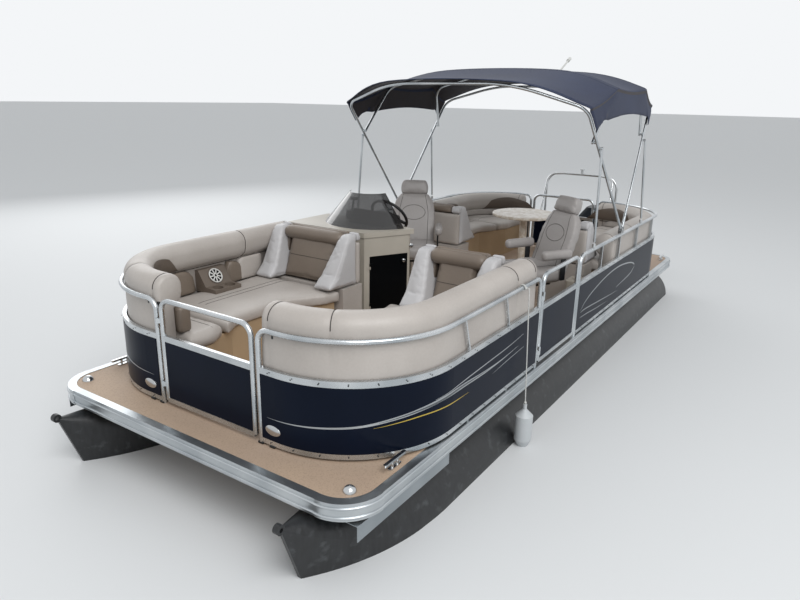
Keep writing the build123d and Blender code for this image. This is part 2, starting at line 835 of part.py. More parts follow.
# Captain's chairs: fixed pedestals, and upholstered seats that swivel on them
chair_base_z = deck_height + 330.0
chairs = {
    # name: axis (x, y), degrees that the chair stands turned to port
    "helm_chair": ((10.0, -570.0), 30.0),
    "port_chair": ((95.0, 750.0), -30.0),
}
with BuildPart() as pedestals:
    for spot, _ in chairs.values():
        with BuildSketch(Plane.XY.offset(deck_height + soft_gap)):
            with Locations(spot):
                Circle(150)
        extrude(amount=12)
        with BuildSketch(Plane.XY.offset(deck_height + 12)):
            with Locations(spot):
                Circle(pedestal_radius)
        extrude(amount=chair_base_z - deck_height - 12)
        with BuildSketch(Plane.XY.offset(chair_base_z)):
            with Locations(spot):
                Circle(chair_pin_radius)
        extrude(amount=30)
finish(pedestals, "chair_pedestals")

arm_width = 60.0
arm_length = 300.0
arm_depth = 74.0
arm_height = 640.0
back_half = 205.0
shoulder_half = 165.0
shoulder_drop = 110.0
head_half = 128.0
head_height = 135.0
back_thickness = 85.0
seat_front = chair_depth / 2 + 25
seat_corner_radius = 70.0
seat_foot = chair_base_z + soft_gap
seat_head = deck_height + chair_seat_top
back_foot = Vector(-135, 0, seat_head - 60)
back_length = (chair_head_top - chair_seat_top + 60) / cos(radians(chair_recline))
for label, ((axis_x, axis_y), turn) in chairs.items():
    with BuildPart() as chair:
        with BuildSketch(Plane.XY.offset(seat_foot)):
            RectangleRounded(260, 260, 30)
        extrude(amount=45)
        with BuildSketch(Plane.XY.offset(seat_foot + 40)):
            with Locations(((seat_front - 210) / 2, 0)):
                RectangleRounded(seat_front + 210, chair_width, seat_corner_radius)
        extrude(amount=seat_head - seat_foot - 40)
        lean = Plane(
            back_foot, (0, 1, 0), Vector(cos(radians(chair_recline)), 0, sin(radians(chair_recline)))
        )
        neck = back_length - head_height
        with BuildSketch(lean):
            with BuildLine():
                Polyline(
                    (-back_half, 0),
                    (back_half, 0),
                    (back_half, neck - shoulder_drop),
                    (shoulder_half, neck),
                    (-shoulder_half, neck),
                    (-back_half, neck - shoulder_drop),
                    close=True,
                )
            make_face()
        extrude(amount=-back_thickness)
        with BuildSketch(lean.offset(8)):
            with Locations((0, neck + head_height / 2 - 1)):
                RectangleRounded(2 * head_half, head_height + 2, 30)
        extrude(amount=-back_thickness + 4)
        for side in (1, -1):
            with BuildSketch(Plane.XZ.offset(-side * (back_half - 1))):
                with Locations((80 - arm_length / 2, deck_height + arm_height)):
                    SlotOverall(arm_length, arm_depth)
            extrude(amount=-side * arm_width)
        with BuildSketch(Plane.XY.offset(seat_foot)):
            Circle(chair_pin_radius + pin_clearance)
        extrude(amount=31, mode=Mode.SUBTRACT)
    finish(chair, label, Location((axis_x, axis_y, 0), (0, 0, turn)))

# Cup locker beside the boarding gate, low enough for the chair to swing over it
cup_radius = 42.0
locker_height = 320.0
locker_x = (-430.0, -215.0)
locker_y = (960.0, fence_half_width - 27)
with BuildPart() as cup_locker:
    with BuildSketch(Plane.XY.offset(deck_height + soft_gap)):
        with Locations((sum(locker_x) / 2, sum(locker_y) / 2)):
            RectangleRounded(locker_x[1] - locker_x[0], locker_y[1] - locker_y[0], 35)
    extrude(amount=locker_height)
    fillet(cup_locker.faces().sort_by(Axis.Z)[-1].edges(), 10)
    with BuildSketch(Plane.XY.offset(deck_height + soft_gap + locker_height)):
        with Locations((sum(locker_x) / 2, sum(locker_y) / 2)):
            with GridLocations(0, 3 * cup_radius, 1, 2):
                Circle(cup_radius)
    extrude(amount=-70, mode=Mode.SUBTRACT)
finish(cup_locker, "cup_locker")

# Speaker pod: a moulded shelf on the starboard seat with two cup holders and a sloped speaker face
pod_x = (1990.0, 2250.0)
pod_wall_y = bolster_inset + bolster_foot + soft_gap - fence_half_width
pod_shelf = 38.0
pod_head = 165.0
speaker_radius = 62.0
with BuildPart() as speaker_pod:
    with BuildSketch(Plane.YZ.offset(pod_x[0])):
        with BuildLine():
            Polyline(
                (pod_wall_y, seat_z + soft_gap),
                (pod_wall_y + 235, seat_z + soft_gap),
                (pod_wall_y + 235, seat_z + pod_shelf),
                (pod_wall_y + 120, seat_z + pod_shelf + 6),
                (pod_wall_y + 40, seat_z + pod_head),
                (pod_wall_y, seat_z + pod_head),
                close=True,
            )
        make_face()
    extrude(amount=pod_x[1] - pod_x[0])
    fillet(speaker_pod.edges().filter_by(Axis.Z), 8)
    with BuildSketch(Plane.XY.offset(seat_z + pod_shelf + 6)):
        with Locations((sum(pod_x) / 2, pod_wall_y + 178)):
            with GridLocations(2.9 * cup_radius, 0, 2, 1):
                Circle(cup_radius)
    extrude(amount=-32, mode=Mode.SUBTRACT)
    face_low = Vector(0, pod_wall_y + 120, seat_z + pod_shelf + 6)
    face_high = Vector(0, pod_wall_y + 40, seat_z + pod_head)
    face_up = (face_high - face_low).normalized()
    face_middle = (face_low + face_high) / 2 + Vector(sum(pod_x) / 2, 0, 0)
    with BuildSketch(Plane(face_middle, (1, 0, 0), Vector(1, 0, 0).cross(face_up))):
        Circle(speaker_radius)
    extrude(amount=6)
finish(speaker_pod, "speaker_pod")

# Cocktail table
table_spot = (-1300.0, 60.0)
with BuildPart() as table_leg:
    with BuildSketch(Plane.XY.offset(deck_height + soft_gap)):
        with Locations(table_spot):
            Circle(110)
    extrude(amount=14)
    with BuildSketch(Plane.XY.offset(deck_height + 14)):
        with Locations(table_spot):
            Circle(42)
    extrude(amount=table_height - table_thickness - 14 - soft_gap)
finish(table_leg, "table_leg")
with BuildPart() as table_top:
    with BuildSketch(Plane.XY.offset(deck_height + table_height - table_thickness)):
        with Locations(table_spot):
            Circle(table_radius)
    extrude(amount=table_thickness)
    fillet(table_top.edges(), 9)
finish(table_top, "table_top")

# Bimini: two main bows on one pair of feet, a second bow pivoted on each, and upright braces
foot_z = deck_height + bimini_foot_height
foot_y = fence_half_width
corner_y = fence_half_width - 87
pivot_radius = 4.0
eye_radius = 11.0
eye_length = 10.0
inner_offset = 36.0
brace_offset = 30.0
front_lean = 43.3
rear_lean = -36.05
front_foot_x = -770.0
rear_foot_x = -820.0
bow_corner_radius = 150.0


def bow_plane(x, z, lean):
    """Return the plane of a bow: x to port, y along the legs, which lean forward by lean degrees."""
    return Plane((x, 0, z), (0, 1, 0), (cos(radians(lean)), 0, -sin(radians(lean))))


def add_bow(plane, foot_half, corner_half, corner_s, crown):
    """Add a hoop to the piece being built: two legs, two corners and a crowned top."""
    points = [
        (-foot_half, 0),
        (-corner_half, corner_s),
        (-corner_half * 0.5, corner_s + crown),
        (corner_half * 0.5, corner_s + crown),
        (corner_half, corner_s),
        (foot_half, 0),
    ]
    radii = [bow_corner_radius, 1200, 1200, bow_corner_radius]
    add_tube([plane.from_local_coords(Vector(*p, 0)) for p in points], radii, bow_radius)


def add_across(x, z, y_from, y_to, radius, mode=Mode.ADD):
    """Add or cut a round bar along Y on both sides of the boat."""
    for side in (1, -1):
        with BuildSketch(Plane((x, side * y_from, z), (1, 0, 0), (0, side, 0))) as disc:
            Circle(radius)
        extrude(to_extrude=disc.sketch, amount=y_to - y_from, mode=mode)


front_plane = bow_plane(front_foot_x, foot_z, front_lean)
rear_plane = bow_plane(rear_foot_x, foot_z, rear_lean)
main_bows = {
    # name: plane, corner distance along the leg, crown, pivot distance along the leg, brace pivot distance
    "bimini_bow_front": (front_plane, 1490.0, 245.0, 1125.0, 1060.0),
    "bimini_bow_rear": (rear_plane, 1370.0, 220.0, 1035.0, 970.0),
}


def leg_half_at(corner_s, s):
    """Return how far off the centreline a main bow's leg is, s along it."""
    return foot_y + (corner_y - foot_y) * s / corner_s


pivots = {}
for label, (plane, corner_s, crown, pivot_s, brace_s) in main_bows.items():
    with BuildPart() as bow:
        add_bow(plane, foot_y, corner_y, corner_s, crown)
        foot = plane.origin
        add_across(foot.X, foot.Z, foot_y - bow_radius, foot_y + bow_radius, bow_radius + 1)
        add_across(foot.X, foot.Z, foot_y - 20, foot_y + 20, pivot_radius + pin_clearance, Mode.SUBTRACT)
        for s, inboard in ((pivot_s, True), (brace_s, False)):
            spot = plane.from_local_coords(Vector(0, s, 0))
            half = leg_half_at(corner_s, s)
            other = inner_offset if inboard else brace_offset
            reach = other + eye_length
            clear = other - bow_radius - 2 * soft_gap
            for length, radius in ((reach, pivot_radius), (clear, eye_radius)):
                ends = (half - length, half) if inboard else (half, half + length)
                add_across(spot.X, spot.Z, *ends, radius)
            pivots[label, "bow" if inboard else "brace"] = (spot, half)
    finish(bow, label)

second_bows = {
    # name: main bow, lean, corner distance, crown
    "bimini_second_front": ("bimini_bow_front", -44.3, 590.0, 215.0),
    "bimini_second_rear": ("bimini_bow_rear", 11.6, 420.0, 150.0),
}
second_planes = {}
for label, (main, lean, corner_s, crown) in second_bows.items():
    spot, half = pivots[main, "bow"]
    second_planes[label] = bow_plane(spot.X, spot.Z, lean)
    eye_y = half - inner_offset
    with BuildPart() as bow:
        add_bow(second_planes[label], eye_y, eye_y, corner_s, crown)
        add_across(spot.X, spot.Z, eye_y - bow_radius / 2, eye_y + bow_radius / 2, bow_radius + 2)
        add_across(spot.X, spot.Z, eye_y - 30, eye_y + 30, pivot_radius + pin_clearance, Mode.SUBTRACT)
    finish(bow, label)

braces = {
    # name: main bow, foot x
    "bimini_braces_front": ("bimini_bow_front", 0.0),
    "bimini_braces_rear": ("bimini_bow_rear", -1500.0),
}
brace_foot_z = foot_z
for label, (main, brace_x) in braces.items():
    spot, half = pivots[main, "brace"]
    eye_y = half + brace_offset
    with BuildPart() as brace:
        for side in (1, -1):
            add_tube(
                [(spot.X, side * eye_y, spot.Z), (brace_x, side * foot_y, brace_foot_z)],
                None,
                bow_radius - 2,
            )
        add_across(spot.X, spot.Z, eye_y - 6, eye_y + 6, bow_radius)
        add_across(spot.X, spot.Z, eye_y - 30, eye_y + 30, pivot_radius + pin_clearance, Mode.SUBTRACT)
    finish(brace, label)

# Mounts that hold the bows' and braces' feet to the top rail
cheek_gap = bow_radius + 1
cheek_thickness = 4.0
mount_foot = top_z + rail_radius + soft_gap
with BuildPart() as bimini_mounts:
    for x in (front_foot_x, rear_foot_x):
        for side in (1, -1):
            with BuildSketch(Plane.XY.offset(mount_foot)):
                with Locations((x, side * foot_y)):
                    Rectangle(30, 2 * (cheek_gap + cheek_thickness))
            extrude(amount=foot_z - bow_radius - 6 - mount_foot)
            with BuildSketch(Plane.XY.offset(mount_foot)):
                with Locations((x, side * foot_y)):
                    with GridLocations(0, 2 * cheek_gap + cheek_thickness, 1, 2):
                        Rectangle(24, cheek_thickness)
            extrude(amount=foot_z + 10 - mount_foot)
        add_across(x, foot_z, foot_y - cheek_gap - 1, foot_y + cheek_gap + 1, pivot_radius)
    for x in (braces["bimini_braces_front"][1], braces["bimini_braces_rear"][1]):
        with BuildSketch(Plane.XY.offset(mount_foot)):
            with Locations((x, foot_y), (x, -foot_y)):
                Circle(bow_radius + 3)
        extrude(amount=brace_foot_z - 14 - mount_foot)
finish(bimini_mounts, "bimini_mounts")

# Canopy: one shell over the four bows, with side valances
canopy_inner = bow_radius + 8.7
canopy_hem_flare = 16.0
canopy_sections = [
    # plane, corner distance, crown, hem distance
    (front_plane, 1490.0, 245.0, 1260.0),
    (second_planes["bimini_second_front"], 590.0, 215.0, 250.0),
    (second_planes["bimini_second_rear"], 420.0, 150.0, 180.0),
    (rear_plane, 1370.0, 220.0, 1150.0),
]
canopy_half = corner_y + canopy_inner
with BuildPart() as canopy:
    for plane, corner_s, crown, hem_s in canopy_sections:
        with BuildSketch(plane):
            with BuildLine():
                inner = [
                    (canopy_half + canopy_hem_flare, hem_s),
                    (canopy_half, corner_s - 40),
                    (canopy_half - 60, corner_s + canopy_inner + 20),
                    (corner_y * 0.5, corner_s + crown + canopy_inner),
                ]
                t = canopy_thickness
                outer = [
                    (canopy_half + canopy_hem_flare + t, hem_s),
                    (canopy_half + t, corner_s - 40),
                    (canopy_half - 60 + t, corner_s + canopy_inner + 20 + t),
                    (corner_y * 0.5, corner_s + crown + canopy_inner + t),
                ]
                half_line = inner + [(-x, y) for x, y in reversed(inner)]
                back_line = [(-x, y) for x, y in outer] + list(reversed(outer))
                Polyline(*half_line, *back_line, close=True)
            make_face()
    loft(ruled=True)
finish(canopy, "canopy")

# Tow bar: a hoop over the motor with forward struts
tow_bar_x = 77 - deck_half_length
tow_bar_half = 480.0
tow_bar_top = 950.0
tow_bar_foot = deck_height + soft_gap
strut_run = 330.0
strut_parting = 60.0
with BuildPart() as tow_bar:
    hoop_points = [
        (tow_bar_x, -tow_bar_half, tow_bar_foot),
        (tow_bar_x, -tow_bar_half, deck_height + tow_bar_top),
        (tow_bar_x, tow_bar_half, deck_height + tow_bar_top),
        (tow_bar_x, tow_bar_half, tow_bar_foot),
    ]
    add_tube(hoop_points, [170, 170], rail_radius)
    for side in (1, -1):
        bar_end = Vector(tow_bar_x, side * (tow_bar_half - 230), deck_height + tow_bar_top)
        shoulder = Vector(
            tow_bar_x + strut_parting, side * (tow_bar_half - 40), deck_height + tow_bar_top - 15
        )
        strut_foot = Vector(tow_bar_x + strut_run, side * tow_bar_half, tow_bar_foot + 6)
        add_tube([bar_end, shoulder, strut_foot], [120], rail_radius - 1.5)
    with BuildSketch(Plane((tow_bar_x, 0, deck_height + tow_bar_top))):
        Circle(18)
    extrude(amount=60)
    with BuildSketch(Plane((tow_bar_x, 0, deck_height + tow_bar_top + 60))):
        Circle(30)
    extrude(amount=12)
finish(tow_bar, "tow_bar")

# Stern light on a pole that stands on a pad on the aft side of the rear bow
light_pole_radius = 11.0
light_pad = rear_plane.from_local_coords(Vector(0, 1370.0 + 220.0, -bow_radius - soft_gap))
light_tip = Vector(-2390, 0, deck_height + 2340)
with BuildPart() as stern_light:
    with BuildSketch(Plane(light_pad, (0, 1, 0), rear_plane.z_dir * -1)):
        Circle(light_pole_radius)
    extrude(amount=2 * light_pole_radius + 4)
    light_start = light_pad - rear_plane.z_dir * (light_pole_radius + 4)
    light_run = (light_tip - light_start).normalized()
    add_tube([light_start, light_tip], None, light_pole_radius - 1)
    with BuildSketch(Plane(light_tip, (0, 1, 0), light_run)):
        Circle(20)
    extrude(amount=60)
finish(stern_light, "stern_light")

# Cleats and docking lights on the deck
cleat_y = deck_half_beam - 100
cleat_spots = ((deck_half_length - 487, cleat_y), (307 - deck_half_length, cleat_y))
with BuildPart() as cleats:
    for x, y in cleat_spots:
        with BuildSketch(Plane.XY.offset(deck_height + soft_gap)):
            with Locations((x, y)):
                SlotOverall(110, 26)
        extrude(amount=8)
        with BuildSketch(Plane.XY.offset(deck_height + 8)):
            with Locations((x - 24, y), (x + 24, y)):
                Circle(8)
        extrude(amount=34)
        with BuildSketch(Plane.XY.offset(deck_height + 40)):
            with Locations((x, y)):
                SlotOverall(200, 20)
        extrude(amount=14)
    mirror(about=Plane.XZ)
finish(cleats, "cleats")

light_x = deck_half_length - 167
light_y = deck_half_beam - 155
light_radius = 38.0
light_height = 34.0
with BuildPart() as deck_lights:
    with BuildSketch(Plane.XZ.offset(-light_y)):
        with BuildLine():
            crown = (light_x, deck_height + light_height)
            rim = (light_x + light_radius, deck_height + soft_gap)
            RadiusArc(crown, rim, light_radius + 4)
            Polyline(rim, (light_x, deck_height + soft_gap), crown)
        make_face()
    revolve(axis=Axis((light_x, light_y, 0), (0, 0, 1)))
    mirror(about=Plane.XZ)
finish(deck_lights, "deck_lights")

# Fender hung from the top rail on its own line
fender_x = 1470.0
fender_y = fence_half_width + rail_radius + 68.0
fender_top = deck_height - 150.0
fender_radius = 62.0
fender_length = 330.0
with BuildPart() as fender:
    with BuildSketch(Plane.XZ.offset(-fender_y)):
        with BuildLine():
            Polyline(
                (fender_x, fender_top),
                (fender_x + 14, fender_top),
                (fender_x + 14, fender_top - 36),
                (fender_x + fender_radius, fender_top - 85),
                (fender_x + fender_radius, fender_top - fender_length + 60),
                (fender_x + 30, fender_top - fender_length),
                (fender_x, fender_top - fender_length),
                close=True,
            )
        make_face()
    revolve(axis=Axis((fender_x, fender_y, 0), (0, 0, 1)))
finish(fender, "fender")

fender_line_radius = 4.0
fender_line_route = [
    (fender_x, fence_half_width + rail_radius, top_z),
    (fender_x, fence_half_width + rail_radius + 30, top_z),
    (fender_x, fender_y, fender_top),
]
with BuildPart() as fender_line:
    add_tube(fender_line_route, [12], fender_line_radius)
finish(fender_line, "fender_line")

# Outboard: clamp on the transom, swivel bracket that tilts, motor that steers, propeller
clamp_half = 118.0
clamp_plate = 16.0
tilt_pin = 15.0
swivel_half = clamp_half - clamp_plate - 1
with BuildPart() as motor_clamp:
    with BuildSketch(Plane.XZ.offset(-clamp_half)):
        with BuildLine():
            Polyline(
                (transom_x - soft_gap, transom_top - 20),
                (transom_x - soft_gap, -60),
                (transom_x - 40, -60),
                (tilt_axis_x - 30, tilt_axis_height - 40),
                (tilt_axis_x - 30, tilt_axis_height + 28),
                (tilt_axis_x + 30, tilt_axis_height + 28),
                (transom_x + 60, transom_top + 60),
                (transom_x + 60, transom_top + soft_gap),
                (transom_x - soft_gap, transom_top + soft_gap),
                close=True,
            )
        make_face()
    extrude(amount=clamp_plate)
    mirror(about=Plane.XZ)
    add_across(tilt_axis_x, tilt_axis_height, 0, clamp_half, tilt_pin)
finish(motor_clamp, "motor_clamp")

swivel_radius = 42.0
steer_shaft_radius = 24.0
swivel_foot = 20.0
swivel_head = 300.0
with BuildPart() as swivel_bracket:
    with BuildSketch(Plane.XY.offset(swivel_foot)):
        with Locations((steer_axis_x, 0)):
            Circle(swivel_radius)
    extrude(amount=swivel_head - swivel_foot)
    with BuildSketch(Plane.XZ.offset(-swivel_half)):
        with BuildLine():
            Polyline(
                (steer_axis_x, swivel_head - 4),
                (steer_axis_x, 60),
                (steer_axis_x + 50, 60),
                (tilt_axis_x + 26, tilt_axis_height - 40),
                (tilt_axis_x + 26, tilt_axis_height + 26),
                (tilt_axis_x - 30, tilt_axis_height + 26),
                close=True,
            )
        make_face()
    extrude(amount=2 * swivel_half)
    add_across(tilt_axis_x, tilt_axis_height, 0, swivel_half + 1, tilt_pin + 0.05, Mode.SUBTRACT)
    with BuildSketch(Plane.XY.offset(swivel_foot - 1)):
        with Locations((steer_axis_x, 0)):
            Circle(steer_shaft_radius + 0.05)
    extrude(amount=swivel_head - swivel_foot + 60, mode=Mode.SUBTRACT)
finish(swivel_bracket, "swivel_bracket")

cowl_foot = 380.0
cowl_top = 890.0
leg_x = steer_axis_x - 150.0
vent_plate_z = prop_axis_height + prop_radius + 12
with BuildPart() as motor_leg:
    with BuildSketch(Plane.XY.offset(swivel_foot - 40)):
        with Locations((steer_axis_x, 0)):
            Circle(steer_shaft_radius)
    extrude(amount=cowl_foot - swivel_foot + 20)
    for low, high in ((swivel_foot - 40, swivel_foot - 6), (cowl_foot - 14, cowl_foot)):
        with BuildSketch(Plane.XY.offset(low)):
            with Locations(((steer_axis_x + leg_x) / 2, 0)):
                RectangleRounded(abs(leg_x - steer_axis_x) + 60, 90, 20)
        extrude(amount=high - low)
    for level, length, width in (
        (vent_plate_z, 190.0, 60.0), (60.0, 200.0, 120.0), (cowl_foot, 240.0, 200.0),
    ):
        with BuildSketch(Plane.XY.offset(level)):
            with Locations((leg_x - 20, 0)):
                SlotOverall(length, width)
    loft()
    with BuildSketch(Plane.XY.offset(vent_plate_z)):
        with Locations((leg_x - 60, 0)):
            SlotOverall(420, 170)
    extrude(amount=10)
    for level, length, width in ((prop_axis_height, 170.0, 50.0), (vent_plate_z + 5, 180.0, 50.0)):
        with BuildSketch(Plane.XY.offset(level)):
            with Locations((leg_x - 30, 0)):
                SlotOverall(length, width)
    loft()
    with BuildSketch(Plane.XZ):
        with BuildLine():
            Polyline(
                (leg_x + 60, prop_axis_height),
                (leg_x - 60, prop_axis_height - 175),
                (leg_x - 130, prop_axis_height - 175),
                (leg_x - 110, prop_axis_height),
                close=True,
            )
        make_face()
    extrude(amount=7, both=True)
    with BuildSketch(Plane.XZ):
        with BuildLine():
            Polyline(
                (leg_x + 120, prop_axis_height),
                (leg_x + 60, prop_axis_height + 45),
                (leg_x - 60, prop_axis_height + 55),
                (leg_x - 160, prop_axis_height + 48),
                (leg_x - 160, prop_axis_height),
                close=True,
            )
        make_face()
    revolve(axis=Axis((0, 0, prop_axis_height), (1, 0, 0)))
    with BuildSketch(Plane((leg_x - 150, 0, prop_axis_height), (0, 1, 0), (-1, 0, 0))):
        Circle(12)
    extrude(amount=120)
finish(motor_leg, "motor_leg")

with BuildPart() as motor_cowl:
    for level, length, width, shift in (
        (cowl_foot + soft_gap, 440.0, 300.0, 0.0),
        (cowl_foot + 120, 560.0, 400.0, 0.0),
        (cowl_top - 120, 520.0, 380.0, 0.0),
        (cowl_top, 330.0, 240.0, 20.0),
    ):
        with BuildSketch(Plane.XY.offset(level)):
            with Locations((leg_x - 60 - shift, 0)):
                RectangleRounded(length, width, 90)
    loft(ruled=True)
finish(motor_cowl, "motor_cowl")

prop_front_x = leg_x - 160.5
with BuildPart() as propeller:
    with BuildSketch(Plane((prop_front_x, 0, prop_axis_height), (0, 1, 0), (-1, 0, 0))):
        Circle(46)
    extrude(amount=100)
    with BuildSketch(Plane((prop_front_x, 0, prop_axis_height), (0, 1, 0), (-1, 0, 0))):
        Circle(12.05)
    extrude(amount=112, mode=Mode.SUBTRACT)
    for turn in (90, 210, 330):
        blade_out = (0, cos(radians(turn)), sin(radians(turn)))
        root = Vector(prop_front_x - 50, 0, prop_axis_height)
        for reach, chord, pitch in ((40, 80, 55), (110, 130, 38), (prop_radius, 60, 27)):
            spot = root + Vector(*blade_out) * reach
            blade_x = Vector(1, 0, 0).rotate(Axis((0, 0, 0), blade_out), pitch)
            with BuildSketch(Plane(spot, blade_x, blade_out)):
                SlotOverall(chord, 7)
        loft()
finish(propeller, "propeller")
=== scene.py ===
# %% [markdown]
# # A two-tube pontoon boat
# The boat is a flat deck on two long floats, with a railed fence, padded lounges, a helm,
# a folding sunshade and an outboard motor. Its hard parts come ready made, at their real
# size, in the frame that the first cell loads. This lesson gives them their finishes and
# models what is soft or too fine for that: cushions, cloth, piping, stripes and screws.
# X runs to the bow, Y to port, Z up, and the water is at Z = 0. Lengths are in metres.

# %% Load the hard parts
import math

import bmesh
import bpy
from mathutils import Matrix, Vector
from mathutils.bvhtree import BVHTree


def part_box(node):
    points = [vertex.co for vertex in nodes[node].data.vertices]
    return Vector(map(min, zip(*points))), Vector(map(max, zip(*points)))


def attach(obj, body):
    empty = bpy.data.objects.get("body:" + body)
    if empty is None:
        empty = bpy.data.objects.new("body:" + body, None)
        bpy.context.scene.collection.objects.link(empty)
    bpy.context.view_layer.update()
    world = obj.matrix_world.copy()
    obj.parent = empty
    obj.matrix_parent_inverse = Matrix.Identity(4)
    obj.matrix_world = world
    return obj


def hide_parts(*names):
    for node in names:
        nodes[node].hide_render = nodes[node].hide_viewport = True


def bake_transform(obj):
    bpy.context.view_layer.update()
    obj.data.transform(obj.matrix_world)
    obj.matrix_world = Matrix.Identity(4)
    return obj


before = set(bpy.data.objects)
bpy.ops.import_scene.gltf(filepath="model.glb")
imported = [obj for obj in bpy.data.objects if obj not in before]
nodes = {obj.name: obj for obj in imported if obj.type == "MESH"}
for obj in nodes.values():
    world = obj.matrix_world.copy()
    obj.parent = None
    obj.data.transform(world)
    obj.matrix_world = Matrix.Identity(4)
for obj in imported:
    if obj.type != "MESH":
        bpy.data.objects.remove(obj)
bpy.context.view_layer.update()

# %% [markdown]
# The camera stands on the quay off the port bow, above head height, and looks down along
# the deck. Its place, turn and field of view were found by matching the straight edges of
# the deck and the fence, so the numbers are measured, and the rest follows from them.

# %% Camera
def add_object(name, data):
    """Put a new object with this data into the scene."""
    made = bpy.data.objects.new(name, data)
    bpy.context.collection.objects.link(made)
    return made


camera_place = Vector((5.444, 2.913, 2.364))
camera_yaw, camera_pitch, camera_roll = 3.7283, -0.3007, 0.0195
focal_pixels, picture_width = 652.9, 800.0
sensor_width = 36.0

ahead = Vector((
    math.cos(camera_pitch) * math.cos(camera_yaw),
    math.cos(camera_pitch) * math.sin(camera_yaw),
    math.sin(camera_pitch),
))
level_right = Vector((math.sin(camera_yaw), -math.cos(camera_yaw), 0.0))
level_up = level_right.cross(ahead)
right = level_right * math.cos(camera_roll) + level_up * math.sin(camera_roll)
up = level_up * math.cos(camera_roll) - level_right * math.sin(camera_roll)

camera_data = bpy.data.cameras.new("camera")
camera_data.sensor_width = sensor_width
camera_data.lens = focal_pixels / picture_width * sensor_width
camera = add_object("camera", camera_data)
camera_turn = Matrix((right, up, -ahead)).transposed().to_4x4()
camera.matrix_world = Matrix.Translation(camera_place) @ camera_turn
bpy.context.scene.camera = camera
print("lens", round(camera_data.lens, 2))

# %% [markdown]
# Colours are written as the hex values that a picture editor shows and turned to linear
# light by one function. Each node is added with its settings and links by one helper, so
# a material reads as a short recipe. Patterns sit on Object coordinates, which are metres
# here, and each scale comes from a real spacing in millimetres.

# %% Colour and node helpers
def linear(hex_colour):
    """Turn an sRGB hex colour into linear red, green, blue and an alpha of one."""
    channels = [int(hex_colour[i:i + 2], 16) / 255 for i in (1, 3, 5)]
    return [c / 12.92 if c <= 0.04045 else ((c + 0.055) / 1.055) ** 2.4 for c in channels] + [1.0]


def add_node(tree, kind, links=(), values=(), **settings):
    """Add a node, set its properties and input values, and link its inputs."""
    node = tree.nodes.new(kind)
    for name, value in settings.items():
        setattr(node, name, value)
    for socket, value in values:
        node.inputs[socket].default_value = value
    for socket, source in links:
        tree.links.new(source, node.inputs[socket])
    return node


def per_metre(spacing_mm):
    """Return the texture scale that repeats a pattern about every spacing_mm."""
    return 1000.0 / spacing_mm


def start_material(name, roughness, metallic=0.0, **sockets):
    """Make a material with a Principled shader and the values that are the same all over it."""
    material = bpy.data.materials.new(name)
    material.use_nodes = True
    tree = material.node_tree
    shader = tree.nodes["Principled BSDF"]
    shader.inputs["Roughness"].default_value = roughness
    shader.inputs["Metallic"].default_value = metallic
    for socket, value in sockets.items():
        shader.inputs[socket.replace("_", " ")].default_value = value
    place = add_node(tree, "ShaderNodeTexCoord").outputs["Object"]
    return material, tree, shader, place


def mix_colours(tree, factor, first, second):
    """Mix two colours, each a hex value or a socket, by a factor socket."""
    mixer = add_node(tree, "ShaderNodeMix", data_type="RGBA", links=[(0, factor)])
    for socket, colour in ((6, first), (7, second)):
        if isinstance(colour, str):
            mixer.inputs[socket].default_value = linear(colour)
        else:
            tree.links.new(colour, mixer.inputs[socket])
    return mixer.outputs[2]


def stretched(tree, place, along):
    """Stretch a pattern by the given factors along x, y and z."""
    mapping = add_node(tree, "ShaderNodeMapping", links=[("Vector", place)], values=[("Scale", along)])
    return mapping.outputs[0]


def noise(tree, place, spacing_mm, detail=3.0):
    """Return the factor of a noise whose blotches are about spacing_mm across."""
    return add_node(
        tree, "ShaderNodeTexNoise", links=[("Vector", place)],
        values=[("Scale", per_metre(spacing_mm)), ("Detail", detail)],
    ).outputs["Fac"]


def ramp(tree, factor, low, high):
    """Spread the part of a factor between low and high over nought to one."""
    return add_node(
        tree, "ShaderNodeMapRange", links=[("Value", factor)],
        values=[("From Min", low), ("From Max", high)],
    ).outputs["Result"]


def colour_with(tree, shader, colour):
    """Take the base colour from a socket."""
    tree.links.new(colour, shader.inputs["Base Color"])


def vary_roughness(tree, shader, factor, low, high):
    """Let a factor socket move the roughness between low and high."""
    rough = add_node(
        tree, "ShaderNodeMapRange", links=[("Value", factor)],
        values=[("To Min", low), ("To Max", high)],
    )
    tree.links.new(rough.outputs[0], shader.inputs["Roughness"])


def add_bump(tree, shader, height, depth_mm, strength=1.0):
    """Give the surface a relief of depth_mm from a height socket."""
    bump = add_node(
        tree, "ShaderNodeBump", links=[("Height", height)],
        values=[("Distance", depth_mm / 1000), ("Strength", strength)],
    )
    tree.links.new(bump.outputs[0], shader.inputs["Normal"])

# %% [markdown]
# ## Metals
# Rails are anodised aluminium tube: the oxide skin is bright but not a mirror, and drawing
# the tube leaves faint streaks along it. Stainless pieces are polished, so they are smoother.
# A metal's colour is its reflection, so the base colour is nearly white and metallic is one.

# %% Metal finishes
def aluminium(name, base, roughness, streak_axis):
    """Anodised aluminium with faint drawing streaks along one axis and small colour changes."""
    material, tree, shader, place = start_material(name, roughness, 1.0)
    along = [1.0, 1.0, 1.0]
    along[streak_axis] = 0.02
    streaks = noise(tree, stretched(tree, place, along), 4, 4)
    clouds = noise(tree, place, 300, 2)
    colour_with(tree, shader, mix_colours(tree, ramp(tree, clouds, 0.3, 0.7), base, "#AEB4B8"))
    vary_roughness(tree, shader, streaks, roughness - 0.06, roughness + 0.12)
    add_bump(tree, shader, streaks, 0.15)
    return material


def polished_steel(name, base, roughness):
    """Polished stainless steel with fine handling marks in its gloss."""
    material, tree, shader, place = start_material(name, roughness, 1.0, Base_Color=linear(base))
    vary_roughness(tree, shader, noise(tree, place, 9, 6), roughness - 0.05, roughness + 0.14)
    return material


